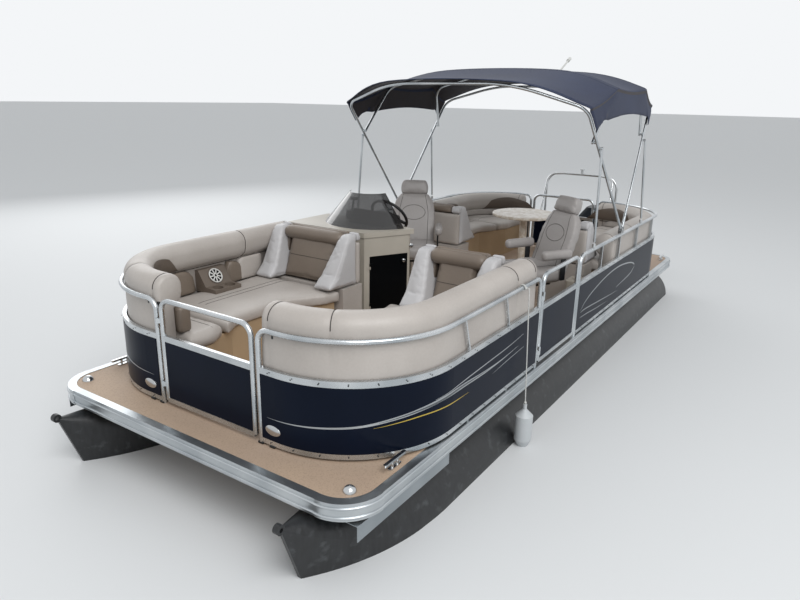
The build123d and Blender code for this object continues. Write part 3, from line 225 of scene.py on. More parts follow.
rail_metal = aluminium("anodised_rail", "#D9DCDE", 0.24, 0)
edge_metal = aluminium("extruded_edge_rail", "#CDD1D3", 0.3, 0)
frame_metal = aluminium("mill_finish_frame", "#A9AEB1", 0.42, 1)
sheet_metal = aluminium("dull_splash_sheet", "#9AA1A6", 0.45, 0)
stainless = polished_steel("polished_stainless", "#C9CBCC", 0.16)
print("metals made")

# %% [markdown]
# ## Paint
# The fence panels are thin aluminium sheet with a deep navy gloss enamel: a dark base under
# a thin clear coat. Its mirroring is kept low, because what stood round the boat in the
# photograph was dark, and the world here is pale. The floats are coated black and have lived
# in the water, so they are satin, streaked downwards and slightly uneven.

# %% Painted finishes
def gloss_enamel(name, base, second, coat_roughness):
    """Dark enamel under a thin clear coat, with the soft unevenness of thin sheet."""
    material, tree, shader, place = start_material(
        name, 0.3, Specular_IOR_Level=0.07, Coat_Weight=0.03, Coat_Roughness=coat_roughness
    )
    clouds = noise(tree, place, 260, 2)
    colour_with(tree, shader, mix_colours(tree, clouds, base, second))
    add_bump(tree, shader, noise(tree, place, 420, 1), 1.2, 0.35)
    return material


def float_coating():
    """Black satin coating on welded sheet: scuffs, downward streaks and shallow dents."""
    material, tree, shader, place = start_material(
        "black_float_coating", 0.4, Coat_Weight=0.12, Coat_Roughness=0.3
    )
    streaks = noise(tree, stretched(tree, place, (1.0, 1.0, 0.12)), 22, 5)
    scuffs = ramp(tree, noise(tree, place, 70, 6), 0.58, 0.74)
    dust = mix_colours(tree, ramp(tree, streaks, 0.35, 0.8), "#141517", "#26282A")
    colour_with(tree, shader, mix_colours(tree, scuffs, dust, "#3D4042"))
    vary_roughness(tree, shader, streaks, 0.3, 0.55)
    add_bump(tree, shader, noise(tree, place, 330, 3), 9, 0.5)
    return material


navy_enamel = gloss_enamel("navy_gloss_enamel", "#080F1C", "#0C1526", 0.05)
motor_enamel = gloss_enamel("dark_motor_enamel", "#15181C", "#1B1F24", 0.12)
black_gloss = gloss_enamel("black_gloss_sheet", "#060709", "#0A0B0D", 0.06)
black_coating = float_coating()
print("paints made")

# %% [markdown]
# ## Upholstery vinyl
# The cushions are foam in coated cloth. The coating is pressed with a leather grain about
# a millimetre wide, too fine to see from the quay, so it is drawn a few times coarser and
# shallow. The coating is slightly glossy, and dirt and wear change its tone by a few percent.

# %% Upholstery finishes
def upholstery(name, base, worn, roughness=0.42):
    """Grained vinyl: pebbles from a cell pattern, tone changes from slow noise."""
    material, tree, shader, place = start_material(name, roughness, IOR=1.5)
    clouds = noise(tree, place, 420, 3)
    specks = noise(tree, place, 14, 5)
    tone = add_node(
        tree, "ShaderNodeMath", operation="MULTIPLY_ADD",
        links=[(0, specks), (2, clouds)], values=[(1, 0.25)],
    ).outputs[0]
    colour_with(tree, shader, mix_colours(tree, ramp(tree, tone, 0.35, 0.95), base, worn))
    pebbles = add_node(
        tree, "ShaderNodeTexVoronoi", feature="SMOOTH_F1", links=[("Vector", place)],
        values=[("Scale", per_metre(4))],
    ).outputs["Distance"]
    add_bump(tree, shader, pebbles, 0.5, 0.5)
    vary_roughness(tree, shader, specks, roughness - 0.08, roughness + 0.12)
    return material


light_vinyl = upholstery("light_grey_vinyl", "#B9B3AD", "#A49D97")
pale_vinyl = upholstery("pale_grey_vinyl", "#C2C1C2", "#AFAEAF")
taupe_vinyl = upholstery("taupe_vinyl", "#7C7064", "#6B6056")
deep_taupe_vinyl = upholstery("deep_taupe_vinyl", "#675C52", "#5A5048")
chair_vinyl = upholstery("chair_grey_vinyl", "#A09C9A", "#8E8986")
piping_vinyl = upholstery("dark_piping", "#332E2B", "#28231F", 0.5)
print("vinyls made")

# %% [markdown]
# ## Moulded plastic, deck covering and the rest
# Seat bases are rotomoulded: the powder melts against a matt mould and leaves a fine
# orange peel. The deck is covered in a woven-look vinyl whose threads cross every few
# millimetres. The table is a cream laminate with soft veins.

# %% Plastic finishes
def moulded(name, base, second, roughness, peel_mm=3.0, depth_mm=0.25):
    """Moulded plastic with orange peel and a slow change of tone."""
    material, tree, shader, place = start_material(name, roughness)
    clouds = noise(tree, place, 350, 4)
    colour_with(tree, shader, mix_colours(tree, ramp(tree, clouds, 0.3, 0.7), base, second))
    add_bump(tree, shader, noise(tree, place, peel_mm, 2), depth_mm)
    return material


def deck_covering():
    """Woven-look vinyl: two crossing waves for the threads, with trodden, sun-bleached areas."""
    material, tree, shader, place = start_material("woven_deck_vinyl", 0.62)
    threads = []
    for direction in ("X", "Y"):
        threads.append(add_node(
            tree, "ShaderNodeTexWave", links=[("Vector", place)], bands_direction=direction,
            values=[("Scale", per_metre(6) / 20), ("Distortion", 0.4), ("Detail", 1.0)],
        ).outputs["Fac"])
    weave = add_node(
        tree, "ShaderNodeMath", operation="MULTIPLY", links=[(0, threads[0]), (1, threads[1])]
    ).outputs[0]
    bleach = noise(tree, place, 900, 4)
    specks = noise(tree, place, 9, 4)
    ground = mix_colours(tree, ramp(tree, bleach, 0.35, 0.7), "#B8A18A", "#A69180")
    colour_with(tree, shader, mix_colours(tree, ramp(tree, specks, 0.5, 0.85), ground, "#8F7D6C"))
    add_bump(tree, shader, weave, 0.6, 0.6)
    return material


def marbled_laminate():
    """Cream laminate with soft tan veins, which are thin bands of a warped noise."""
    material, tree, shader, place = start_material("marbled_laminate", 0.25)
    veins = ramp(tree, noise(tree, place, 60, 8), 0.46, 0.54)
    blotches = noise(tree, place, 25, 5)
    ground = mix_colours(tree, blotches, "#DDD3C5", "#C9BBA8")
    colour_with(tree, shader, mix_colours(tree, veins, ground, "#E6DFD4"))
    return material


def smoked_acrylic():
    """Dark tinted screen: see-through, with reflections from its own gloss."""
    material, tree, shader, place = start_material(
        "smoked_acrylic", 0.05, Base_Color=linear("#2B2A2A"), Alpha=0.72,
        Coat_Weight=1.0, Coat_Roughness=0.03,
    )
    add_bump(tree, shader, noise(tree, place, 300, 1), 0.4, 0.3)
    return material


base_plastic = moulded("rotomoulded_tan", "#B59D7E", "#A48D70", 0.55)
console_plastic = moulded("off_white_gelcoat", "#B4AEA3", "#A9A398", 0.32, 30, 0.2)
black_plastic = moulded("black_moulding", "#0E0F11", "#17181A", 0.5)
white_plastic = moulded("white_moulding", "#D9D9D6", "#CBCBC7", 0.35)
fender_plastic = moulded("blown_fender_vinyl", "#C3C7C9", "#A9AEB1", 0.42)
taupe_plastic = moulded("taupe_moulding", "#6C6157", "#5F554C", 0.5)
deck_vinyl = deck_covering()
laminate = marbled_laminate()
acrylic = smoked_acrylic()
print("plastics made")

# %% [markdown]
# ## Sunshade canvas
# The sunshade is navy acrylic canvas in a plain weave. Threads half a millimetre thick would
# not show, so the weave is drawn about three times as coarse. Its underside has the brown
# waterproof coat. One material serves both sides, because the mesh says which side it is on.

# %% Canvas finish
def canvas(name, base, faded, spacing_mm=5.0):
    """Plain-weave canvas with sun-faded areas and a soft edge sheen."""
    material, tree, shader, place = start_material(
        name, 0.85, Sheen_Weight=0.08, Sheen_Roughness=0.5
    )
    fades = noise(tree, place, 500, 4)
    threads = noise(tree, stretched(tree, place, (1.0, 0.25, 1.0)), spacing_mm, 3)
    faded_tone = mix_colours(tree, ramp(tree, fades, 0.35, 0.75), base, faded)
    threaded = mix_colours(tree, ramp(tree, threads, 0.45, 0.9), faded_tone, "#323C58")
    colour_with(tree, shader, threaded)
    add_bump(tree, shader, threads, 0.8, 0.5)
    return material


canvas_top = canvas("navy_canvas", "#19223B", "#222D49")
canvas_under = canvas("coated_canvas_underside", "#2C2624", "#3A322E")
braid = canvas("white_braided_line", "#CFCFCB", "#B9B9B4", 3.0)
print("canvas made")

# %% [markdown]
# ## Dress the hard parts
# A hard part keeps its mesh, and only its material changes.

# %% Finishes of the hard parts
finishes = {
    rail_metal: (
        "fence_bow_starboard", "fence_bow_port", "fence_aft_starboard", "fence_aft_port",
        "gate_front", "gate_side", "gate_stern", "bimini_bow_front", "bimini_bow_rear",
        "bimini_second_front", "bimini_second_rear", "bimini_braces_front", "bimini_braces_rear",
    ),
    edge_metal: ("edge_rails", "corner_caps"),
    frame_metal: ("deck_beams", "motor_pod"),
    sheet_metal: ("splash_plates",),
    stainless: ("bimini_mounts", "tow_bar", "cleats", "deck_lights", "chair_pedestals", "propeller"),
    navy_enamel: (
        "panels_port", "panels_starboard", "gate_front_panel", "gate_side_panel", "gate_stern_panel",
    ),
    motor_enamel: ("motor_clamp", "swivel_bracket", "motor_leg", "motor_cowl"),
    black_gloss: ("console_door",),
    black_coating: ("tube_port", "tube_starboard"),
    light_vinyl: ("seat_pads_bow", "seat_pads_aft", "bolsters_bow", "bolsters_aft", "chaise_backs_aft"),
    taupe_vinyl: ("chaise_backs_bow",),
    chair_vinyl: ("helm_chair", "port_chair"),
    base_plastic: ("lounge_bases_bow", "lounge_bases_aft"),
    console_plastic: ("console", "cup_locker"),
    taupe_plastic: ("speaker_pod",),
    black_plastic: ("steering_wheel", "dash_pod", "throttle"),
    white_plastic: ("stern_light",),
    fender_plastic: ("fender",),
    deck_vinyl: ("deck",),
    laminate: ("table_top", "table_leg"),
    acrylic: ("windscreen",),
    canvas_top: ("canopy",),
    braid: ("fender_line",),
}
for material, names in finishes.items():
    for name in names:
        nodes[name].data.materials.clear()
        nodes[name].data.materials.append(material)
print("dressed", sum(len(names) for names in finishes.values()), "of", len(nodes))

# %% [markdown]
# ## Building blocks
# A long padded roll is a row of equal rings joined by a skin. A thin tube along a line makes
# piping and seams. A cushion starts as a plain closed block: it gets an even skin, its edges
# are rounded off, and later all cushions swell together as cloth under air pressure.

# %% Shape helpers
deck_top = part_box("deck")[1].z
sides = {"port": 1, "starboard": -1}
cushions = []


def make_piece(name, mesh, body, *materials):
    """Turn a bmesh into a smooth piece that rides on a body, if one is named."""
    bmesh.ops.recalc_face_normals(mesh, faces=mesh.faces)
    data = bpy.data.meshes.new(name)
    mesh.to_mesh(data)
    mesh.free()
    for material in materials:
        data.materials.append(material)
    data.shade_smooth()
    piece = add_object(name, data)
    if body:
        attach(piece, body)
    return piece


def turns(count):
    """Return count even turns round a circle, in radians."""
    return [2 * math.pi * k / count for k in range(count)]


def circle(place, radius, height, count):
    """Return the points of a circle about a matrix's z at a height."""
    return [place @ Vector((radius * math.cos(t), radius * math.sin(t), height)) for t in turns(count)]


def axes_at(x_axis, y_axis, z_axis, place):
    """Return the matrix that has these axes and stands at a place."""
    matrix = Matrix((x_axis, y_axis, z_axis)).transposed().to_4x4()
    matrix.translation = place
    return matrix


def add_skin(mesh, rings, capped=True):
    """Join rings of points with a skin and close both ends."""
    rows = [[mesh.verts.new(point) for point in ring] for ring in rings]
    for low, high in zip(rows, rows[1:]):
        for i, corner in enumerate(low):
            j = (i + 1) % len(low)
            mesh.faces.new((corner, low[j], high[j], high[i]))
    if capped:
        mesh.faces.new(rows[0])
        mesh.faces.new(rows[-1])


def add_tube(mesh, points, radius, corners=6, closed=False):
    """Add a thin round tube along points, turning its ring as little as it can."""
    side = (points[1] - points[0]).orthogonal()
    rings = []
    for i, point in enumerate(points):
        before = points[i - 1] if i or closed else point
        after = points[(i + 1) % len(points)] if i + 1 < len(points) or closed else point
        along = (after - before).normalized()
        side = (side - along * side.dot(along)).normalized()
        other = along.cross(side)
        rings.append([
            point + radius * (side * math.cos(t) + other * math.sin(t)) for t in turns(corners)
        ])
    add_skin(mesh, rings + rings[:1] if closed else rings, capped=not closed)
    if closed:
        bmesh.ops.remove_doubles(mesh, verts=mesh.verts, dist=1e-5)


def add_lathe(mesh, place, profile, count=40):
    """Add a turned form: a profile of radius and height pairs spun about a matrix's z."""
    add_skin(mesh, [circle(place, radius, height, count) for radius, height in profile])


def add_block(mesh, low, high, edge_radius=0.0, place=None):
    """Add a box between two corners, with rounded edges, moved by a matrix if one is given."""
    low, high = Vector(low), Vector(high)
    made = bmesh.ops.create_cube(mesh, size=1.0)["verts"]
    for vert in made:
        vert.co = (low + high) / 2 + vert.co * (high - low)
    if edge_radius:
        edges = {edge for vert in made for edge in vert.link_edges}
        cut = bmesh.ops.bevel(
            mesh, geom=list(edges), offset=edge_radius, segments=3, profile=0.5,
            affect="EDGES", material=-1,
        )
        rounded = {vert for face in cut["faces"] for vert in face.verts}
        made = list(rounded | {vert for vert in made if vert.is_valid})
    if place is not None:
        bmesh.ops.transform(mesh, matrix=place, verts=made)


def extruded(outline, place, depth):
    """Return a block: a flat outline in the x and y of a matrix, run along its z by depth."""
    mesh = bmesh.new()
    add_skin(mesh, [[place @ Vector((x, y, z)) for x, y in outline] for z in (0.0, depth)])
    return mesh


def cut_copy(node, *planes):
    """Copy a hard part's mesh and keep what lies inside all the planes (point, outward)."""
    mesh = bmesh.new()
    mesh.from_mesh(nodes[node].data)
    bmesh.ops.remove_doubles(mesh, verts=mesh.verts, dist=1e-5)
    for point, outward in planes:
        parts = mesh.verts[:] + mesh.edges[:] + mesh.faces[:]
        bmesh.ops.bisect_plane(mesh, geom=parts, plane_co=point, plane_no=outward, clear_outer=True)
        rim = [edge for edge in mesh.edges if edge.is_boundary]
        bmesh.ops.triangle_fill(mesh, use_beauty=True, edges=rim)
    return mesh


def cut_off(axis, value, away):
    """Return the plane that takes off what lies past a value on the away side, 1 or -1."""
    direction = Vector((axis == 0, axis == 1, axis == 2))
    return direction * value, direction * away


def between(axis, low, high):
    """Return the two planes that keep low to high along an axis."""
    return cut_off(axis, low, -1), cut_off(axis, high, 1)


def apply_modifiers(piece):
    """Bake a piece's modifiers into its mesh."""
    graph = bpy.context.evaluated_depsgraph_get()
    baked = bpy.data.meshes.new_from_object(piece.evaluated_get(graph))
    piece.modifiers.clear()
    piece.data = baked


def cushion(name, mesh, body, material, voxel=0.02, rounds=6, shrink=0.006, swell=0.012):
    """Make a cushion from a closed block: an even skin, rounded edges, ready to swell."""
    piece = make_piece(name, mesh, body, material)
    skin = piece.modifiers.new("skin", "REMESH")
    skin.mode = "VOXEL"
    skin.voxel_size = voxel
    apply_modifiers(piece)
    soft = bmesh.new()
    soft.from_mesh(piece.data)
    for _ in range(rounds):
        bmesh.ops.smooth_vert(
            soft, verts=soft.verts, factor=0.5, use_axis_x=True, use_axis_y=True, use_axis_z=True
        )
    soft.normal_update()
    for vert in soft.verts:
        vert.co -= vert.normal * shrink
    soft.to_mesh(piece.data)
    soft.free()
    if not piece.data.materials:
        piece.data.materials.append(material)
    piece.data.shade_smooth()
    cushions.append((piece, swell))
    return piece


print("helpers ready, deck at", round(deck_top, 3))

# %% [markdown]
# ## The line of the fence
# Bolsters, back cushions, stripes and screws all follow the fence, which is straight along
# the ends and sides with a quarter circle at each corner. One function turns a distance
# along it, counted from the centreline, into a point, so each of them is a short loop.

# %% Fence line
fence_ends = {1: 3.11, -1: -2.77}
fence_half = 1.262
corner_radius = 0.70
straight_run = fence_half - corner_radius
quarter_run = corner_radius * math.pi / 2


def fence_point(end, side, run, inset, height):
    """Return the point a distance run along the fence, inset inwards, height over the deck."""
    angle = min(max((run - straight_run) / corner_radius, 0.0), math.pi / 2)
    past = max(run - straight_run - quarter_run, 0.0)
    x = corner_radius * (math.cos(angle) - 1) - past - inset * math.cos(angle)
    y = min(run, straight_run) + corner_radius * math.sin(angle) - inset * math.sin(angle)
    return Vector((fence_ends[end] + end * x, side * y, deck_top + height))


def run_to(end, x):
    """Return the distance along the fence of a place on its side."""
    return straight_run + quarter_run + end * (fence_ends[end] - x) - corner_radius


def steps(start, stop, pitch):
    """Return evenly spaced values from start to stop, about pitch apart."""
    count = max(1, round((stop - start) / pitch))
    return [start + (stop - start) * i / count for i in range(count + 1)]


# %% [markdown]
# ## Bolsters
# The roll along the top of each lounge is foam in light grey vinyl. Its section is upright
# outside, rounded over the crown and undercut inside. Near a seam the ring of the roll is
# drawn in a little, and a thin piping covers the stitches. The ends are sewn-on discs.

# %% Bolsters
bolster_outer, bolster_foot = 0.020, 0.110
roll_width, roll_foot = 0.190, 0.130
roll_tops = {1: 0.825, -1: 0.700}


def roll_section(top, pull):
    """Return the roll's section as (inset, height) points, drawn in by pull."""
    centre_in = bolster_outer + roll_width / 2
    crown = 0.45 * roll_width
    centre_up = top - crown
    inner, foot_in = bolster_outer + roll_width, bolster_outer + bolster_foot
    points = []
    for k in range(17):
        angle = math.pi * (1.0 - k / 16)
        inset = centre_in + roll_width / 2 * math.cos(angle)
        points.append((inset, centre_up + crown * math.sin(angle)))
    points += [
        (inner - 0.002, top - 0.70 * roll_width), (inner - 0.014, top - 0.92 * roll_width),
        (inner - 0.040, top - 1.04 * roll_width), (foot_in + 0.01, top - 1.16 * roll_width),
        (foot_in, top - 1.26 * roll_width), (foot_in, roll_foot + 0.02), (foot_in - 0.02, roll_foot),
        (bolster_outer + 0.02, roll_foot), (bolster_outer, roll_foot + 0.02),
        (bolster_outer, (top + roll_foot) / 2),
    ]
    middle = Vector((centre_in - 0.02, (top + centre_up) / 2 - 0.05))
    return [tuple(Vector(p) + (middle - Vector(p)).normalized() * pull) for p in points]


bolsters = {
    # name: node, end, side, first and last distance along the fence, seams at these x
    "bolster_bow_port": ("bolsters_bow", 1, 1, 0.440, run_to(1, 1.175), (1.50, 2.95)),
    "bolster_bow_starboard": ("bolsters_bow", 1, -1, 0.430, run_to(1, 1.200), (1.78, 2.95)),
    "bolster_aft_port": ("bolsters_aft", -1, 1, 0.480, run_to(-1, -0.700), (-1.35,)),
    "bolster_aft_starboard": ("bolsters_aft", -1, -1, 0.530, run_to(-1, -0.700), (-1.35,)),
}
seam_pull, seam_reach = 0.007, 0.014
piping = bmesh.new()
for name, (node, end, side, first, last, seams_at) in bolsters.items():
    top = roll_tops[end]
    seam_runs = [first + 0.055, last - 0.030]
    for seam_x in seams_at:
        on_side = run_to(end, seam_x)
        in_corner = straight_run + quarter_run * 0.3
        seam_runs.append(on_side if on_side > straight_run + quarter_run else in_corner)
    stations = {run: 0.0 for run in steps(first, last, 0.05)}
    for seam in seam_runs:
        for run in [r for r in stations if abs(r - seam) < 2 * seam_reach]:
            del stations[run]
        stations.update({seam - seam_reach: 0.001, seam: seam_pull, seam + seam_reach: 0.001})
    stations.update({first: 0.022, first + 0.008: 0.010, first + 0.022: 0.003})
    stations.update({last: 0.022, last - 0.008: 0.010})
    rings = []
    for run in sorted(run for run in stations if first <= run <= last):
        section = roll_section(top, stations[run])
        rings.append([fence_point(end, side, run, inset, height) for inset, height in section])
    roll = bmesh.new()
    add_skin(roll, rings)
    piece = make_piece(name, roll, "hull", light_vinyl)
    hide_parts(node)
    for seam in seam_runs:
        section = roll_section(top, seam_pull - 0.002)[:24]
        seam_line = [fence_point(end, side, seam, inset, height) for inset, height in section]
        add_tube(piping, seam_line, 0.0028)
    # Painted shade: a dark tube along the roll's underside draws the shadow line where the roll meets
    # the back cushion.
    shadow_line_spot = roll_section(top, -0.001)[20]
    shadow_line_runs = steps(first + 0.02, last - 0.02, 0.06)
    add_tube(piping, [fence_point(end, side, run, *shadow_line_spot) for run in shadow_line_runs], 0.003)
print("bolsters", len(bolsters))

# %% [markdown]
# ## Back cushions and crescents
# Below each roll a flatter back cushion stands on the seat. Its ends round off, so its upper
# edge follows half an ellipse there. A taupe crescent is let into the roll at the corners:
# a thin arched skin that lies on the roll's inner face.

# %% Back cushions and crescents
seat_height = 0.420
squareness = 0.45


def back_cushion(name, end, side, first, last, material, top, depth=0.055, round_off=(0.16, 0.16)):
    """Add a padded band along the fence whose ends round off in plan and in height."""
    rings = []
    wall = bolster_outer + bolster_foot - 0.004
    for run in steps(first, last, 0.035):
        reach = min((run - first) / round_off[0], (last - run) / round_off[1])
        rise = math.sqrt(max(0.0, 1.0 - (1.0 - min(reach, 1.0)) ** 2))
        head = seat_height + (top - seat_height) * max(rise, 0.12)
        thick = depth * max(rise, 0.2) ** 0.7
        ring = []
        for angle in turns(16):
            across, upward = [
                math.copysign(abs(share) ** squareness, share)
                for share in (math.cos(angle), math.sin(angle))
            ]
            height = (seat_height + head) / 2 + (head - seat_height) / 2 * upward
            ring.append(fence_point(end, side, run, wall + thick * (0.5 + 0.5 * across), height))
        rings.append(ring)
    pad = bmesh.new()
    add_skin(pad, rings)
    piece = make_piece(name, pad, "hull", material)
    add_tube(piping, [(ring[3] + ring[4]) / 2 for ring in rings[1:-1]], 0.0025)


def crescent(mesh, end, side, middle, half, rise):
    """Add an arched skin on the inner face of a roll."""
    section = [Vector(point) for point in reversed(roll_section(roll_tops[end], -0.0035)[13:20])]
    rows = []
    for u in steps(-1.0, 1.0, 0.08):
        arch = max(0.0, 1.0 - u * u) * rise * (len(section) - 1.001)
        row = []
        for k in range(6):
            along = arch * k / 5
            inset, height = section[int(along)].lerp(section[int(along) + 1], along % 1.0)
            row.append(mesh.verts.new(fence_point(end, side, middle + half * u, inset, height)))
        rows.append(row)
    for low, high in zip(rows, rows[1:]):
        for k in range(5):
            mesh.faces.new((low[k], low[k + 1], high[k + 1], high[k]))


corner_run = straight_run + quarter_run / 2
bow_backs = {
    # name: side, first and last distance along the fence, material, top, depth, round-offs
    "starboard_corner": (-1, 0.70, run_to(1, 2.262), taupe_vinyl, 0.61, 0.060, (0.25, 0.13)),
    "starboard_bulge": (-1, 0.86, run_to(1, 2.42), light_vinyl, 0.52, 0.085, (0.22, 0.30)),
    "starboard_taupe": (-1, run_to(1, 1.982), run_to(1, 1.76), taupe_vinyl, 0.60, 0.068, (0.03, 0.16)),
    "starboard_side": (-1, run_to(1, 1.86), run_to(1, 1.556), light_vinyl, 0.61, 0.058, (0.05, 0.03)),
    "port_corner": (1, 0.70, run_to(1, 2.31), taupe_vinyl, 0.61, 0.060, (0.25, 0.12)),
    "port_bulge": (1, 0.86, run_to(1, 2.42), light_vinyl, 0.52, 0.085, (0.22, 0.30)),
    "port_side": (1, run_to(1, 2.30), run_to(1, 1.556), light_vinyl, 0.61, 0.058, (0.12, 0.03)),
}
for name, (side, *shape) in bow_backs.items():
    back_cushion(f"back_bow_{name}", 1, side, *shape)
for name, side in sides.items():
    for part, first, last, *depth in (
        ("corner", 0.56, run_to(-1, -1.95), 0.05), ("side", run_to(-1, -1.90), run_to(-1, -0.98)),
    ):
        back_cushion(f"back_aft_{name}_{part}", -1, side, first, last, light_vinyl, 0.50, *depth)
crescents = bmesh.new()
for arch in (
    # end, side, middle along the fence, half length, share of the roll's inner face
    (1, -1, corner_run + 0.10, 0.42, 0.8), (1, 1, corner_run + 0.10, 0.42, 0.8),
    (-1, -1, corner_run - 0.35, 0.48, 0.95), (-1, 1, corner_run - 0.35, 0.42, 0.95),
    (-1, -1, run_to(-1, -1.5), 0.42, 0.95),
):
    crescent(crescents, *arch)
make_piece("crescents", crescents, "hull", deep_taupe_vinyl)
print("back cushions and crescents made")

# %% [markdown]
# ## Seat cushions
# Each seat cushion is a slice of the hard part's pad, so it fits its base. Cuts across the
# pad make the separate cushions. They swell a little and their seams sink between them.

# %% Seat cushions
cushion_gap = 0.004
seat_slices = {
    # end: each cushion's name, x from and to
    "bow": (("front", 2.640, 3.200), ("long", 1.530, 2.640)),
    "aft": (("corner", -2.900, -1.950), ("long", -1.950, -0.690)),
}
for end_name, slices in seat_slices.items():
    node = f"seat_pads_{end_name}"
    for side_name, side in sides.items():
        for part, low_x, high_x in slices:
            planes = between(0, low_x + cushion_gap / 2, high_x - cushion_gap / 2)
            block = cut_copy(node, cut_off(1, 0.0, -side), *planes)
            name = f"seat_{end_name}_{side_name}_{part}"
            piece = cushion(
                name, block, "hull", light_vinyl, voxel=0.022, rounds=7, shrink=0.004, swell=0.014
            )
            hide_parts(node)
for name, side in sides.items():
    low_y, high_y = sorted((side * 0.395, side * 0.475))
    pillow = bmesh.new()
    add_block(pillow, (2.872, low_y, deck_top + 0.424), (2.972, high_y, deck_top + 0.610), 0.02)
    cushion(f"end_pillow_{name}", pillow, "hull", taupe_vinyl, 0.012, 5, 0.001, 0.008)
print("seat cushions made, cushions so far", len(cushions))

# %% [markdown]
# ## Chaise backs
# Each tall backrest is sewn from five upright bands on a light shell: two pale wings, two
# narrow strips and a taupe middle, which is rolled over at the head. The strips, the middle
# and the shell are slices of the hard part. The wings widen and reach forward to the foot.

# %% Chaise backs
wing, strip, wing_lean = 0.100, 0.045, 0.090
chaise_depth, shell_thickness, cap_depth = 0.250, 0.060, 0.075
head_radius, head_back = 0.058, 0.142
chaise_tops = {1: 0.85, -1: 0.83}
wing_tops = {face: top - 0.005 for face, top in chaise_tops.items()}
band_foot = deck_top + seat_height
chaises = {
    # name: node, x of the seat's end, way that the sitter faces, inner and outer y
    "chaise_bow_port": ("chaise_backs_bow", 1.540, 1, 0.400, 1.0517),
    "chaise_bow_starboard": ("chaise_backs_bow", 1.540, 1, -0.230, -1.0517),
    "chaise_aft_port": ("chaise_backs_aft", -0.700, -1, 0.640, 1.0517),
    "chaise_aft_starboard": ("chaise_backs_aft", -0.700, -1, -0.300, -1.0517),
}


def wing_block(face, end_x, start, stop, inward):
    """Return a wing: its side view, in front of the seat's end, run across from start to stop."""
    top = wing_tops[face]
    side_view = [
        (-0.192, seat_height + 0.006), (0.165, seat_height + 0.012), (0.160, seat_height + 0.035),
        (0.085, 0.540), (0.010, 0.680), (-0.045, top - 0.060), (-0.085, top - 0.012), (-0.120, top),
        (-0.192, top),
    ]
    rings = []
    for y in (start, stop):
        is_inner = (y - (start + stop) / 2) * inward > 0
        ring = []
        for forward, height in side_view:
            low_share = (top - height) / (top - seat_height)
            lean = wing_lean * low_share * inward if is_inner else 0.0
            ring.append(Vector((end_x + face * forward, y + lean, deck_top + height)))
        rings.append(ring)
    mesh = bmesh.new()
    add_skin(mesh, rings)
    return mesh


def head_roll(face, end_x, start, stop):
    """Return the roll that closes the head of a taupe middle, drawn in at both ends."""
    rings = []
    for u in steps(0.0, 1.0, 0.04):
        radius = head_radius * (1.0 - 0.45 * abs(2 * u - 1) ** 14)
        height = deck_top + wing_tops[face] - head_radius + 0.004
        middle = Vector((end_x - face * head_back, start + (stop - start) * u, height))
        rings.append([middle + radius * Vector((math.cos(t), 0.0, math.sin(t))) for t in turns(28)])
    mesh = bmesh.new()
    add_skin(mesh, rings)
    return mesh


for name, (node, end_x, face, inner, outer) in chaises.items():
    low, high = sorted((inner, outer))
    shell_x = end_x - face * (chaise_depth - shell_thickness)
    behind = cut_off(0, shell_x, face)
    above = cut_off(2, band_foot, -1)
    cap_foot = deck_top + chaise_tops[face] - cap_depth
    shell = cut_copy(node, *between(1, low, high), behind, above, cut_off(2, cap_foot, 1))
    edges = [low, low + wing, high - wing, high]
    for k, material in enumerate((pale_vinyl, taupe_vinyl, pale_vinyl)):
        across = between(1, edges[k] + 0.001, edges[k + 1] - 0.001)
        cap = cut_copy(node, *across, behind, cut_off(2, cap_foot + 0.002, -1))
        cushion(f"{name}_cap_{k}", cap, "hull", material, 0.014, 4, 0.0, 0.006)
    roll = head_roll(face, end_x, low + wing + 0.004, high - wing - 0.004)
    make_piece(f"{name}_head_roll", roll, "hull", taupe_vinyl)
    shell_piece = cushion(f"{name}_shell", shell, "hull", light_vinyl, 0.02, 3, 0.002, 0.003)
    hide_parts(node)
    base = cut_copy(node, *between(1, low, high), cut_off(2, band_foot, 1))
    make_piece(f"{name}_base", base, "hull", light_vinyl).data.shade_flat()
    edges = [low, low + wing, low + wing + strip, high - wing - strip, high - wing, high]
    coverings = [pale_vinyl, deep_taupe_vinyl, taupe_vinyl, deep_taupe_vinyl, pale_vinyl]
    for k, (material, start, stop) in enumerate(zip(coverings, edges, edges[1:])):
        if material is pale_vinyl:
            block = wing_block(face, end_x, start + 0.002, stop - 0.002, 1 if k == 0 else -1)
        else:
            across = between(1, start + 0.001, stop - 0.001)
            block = cut_copy(node, *across, cut_off(0, shell_x, -face), above)
        voxel, rounds, swell = (0.018, 6, 0.016) if stop - start > 2 * wing else (0.012, 4, 0.006)
        cushion(f"{name}_band_{k}", block, "hull", material, voxel, rounds, 0.002, swell)
print("chaise backs", len(chaises))

# %% [markdown]
# ## Captain's chairs
# A chair is drawn once in its own frame, forward along x, and placed by a matrix. The back
# leans, so its outline is drawn in a leaning plane. Both chairs turn on their pedestals.

# %% Captain's chairs
recline = math.radians(19.0)
back_root = Vector((-0.135, 0.0, 0.440))
neck_height, head_top = 0.547, 0.682
back_depth = 0.085
chairs = {
    # name: place of the swivel, degrees that the chair stands turned to port
    "helm_chair": (Vector((0.010, -0.570, deck_top)), 30.0),
    "port_chair": (Vector((0.095, 0.750, deck_top)), -30.0),
}
lean_up = Vector((-math.sin(recline), 0.0, math.cos(recline)))
lean_out = Vector((math.cos(recline), 0.0, math.sin(recline)))
lean = axes_at(Vector((0, 1, 0)), lean_up, lean_out, back_root)


def mirrored(half):
    """Return an even outline from its right half, which starts at the foot."""
    (foot_x, foot_y), *rest = half
    return [(-foot_x, foot_y), *half, *[(-x, y) for x, y in reversed(rest)]]


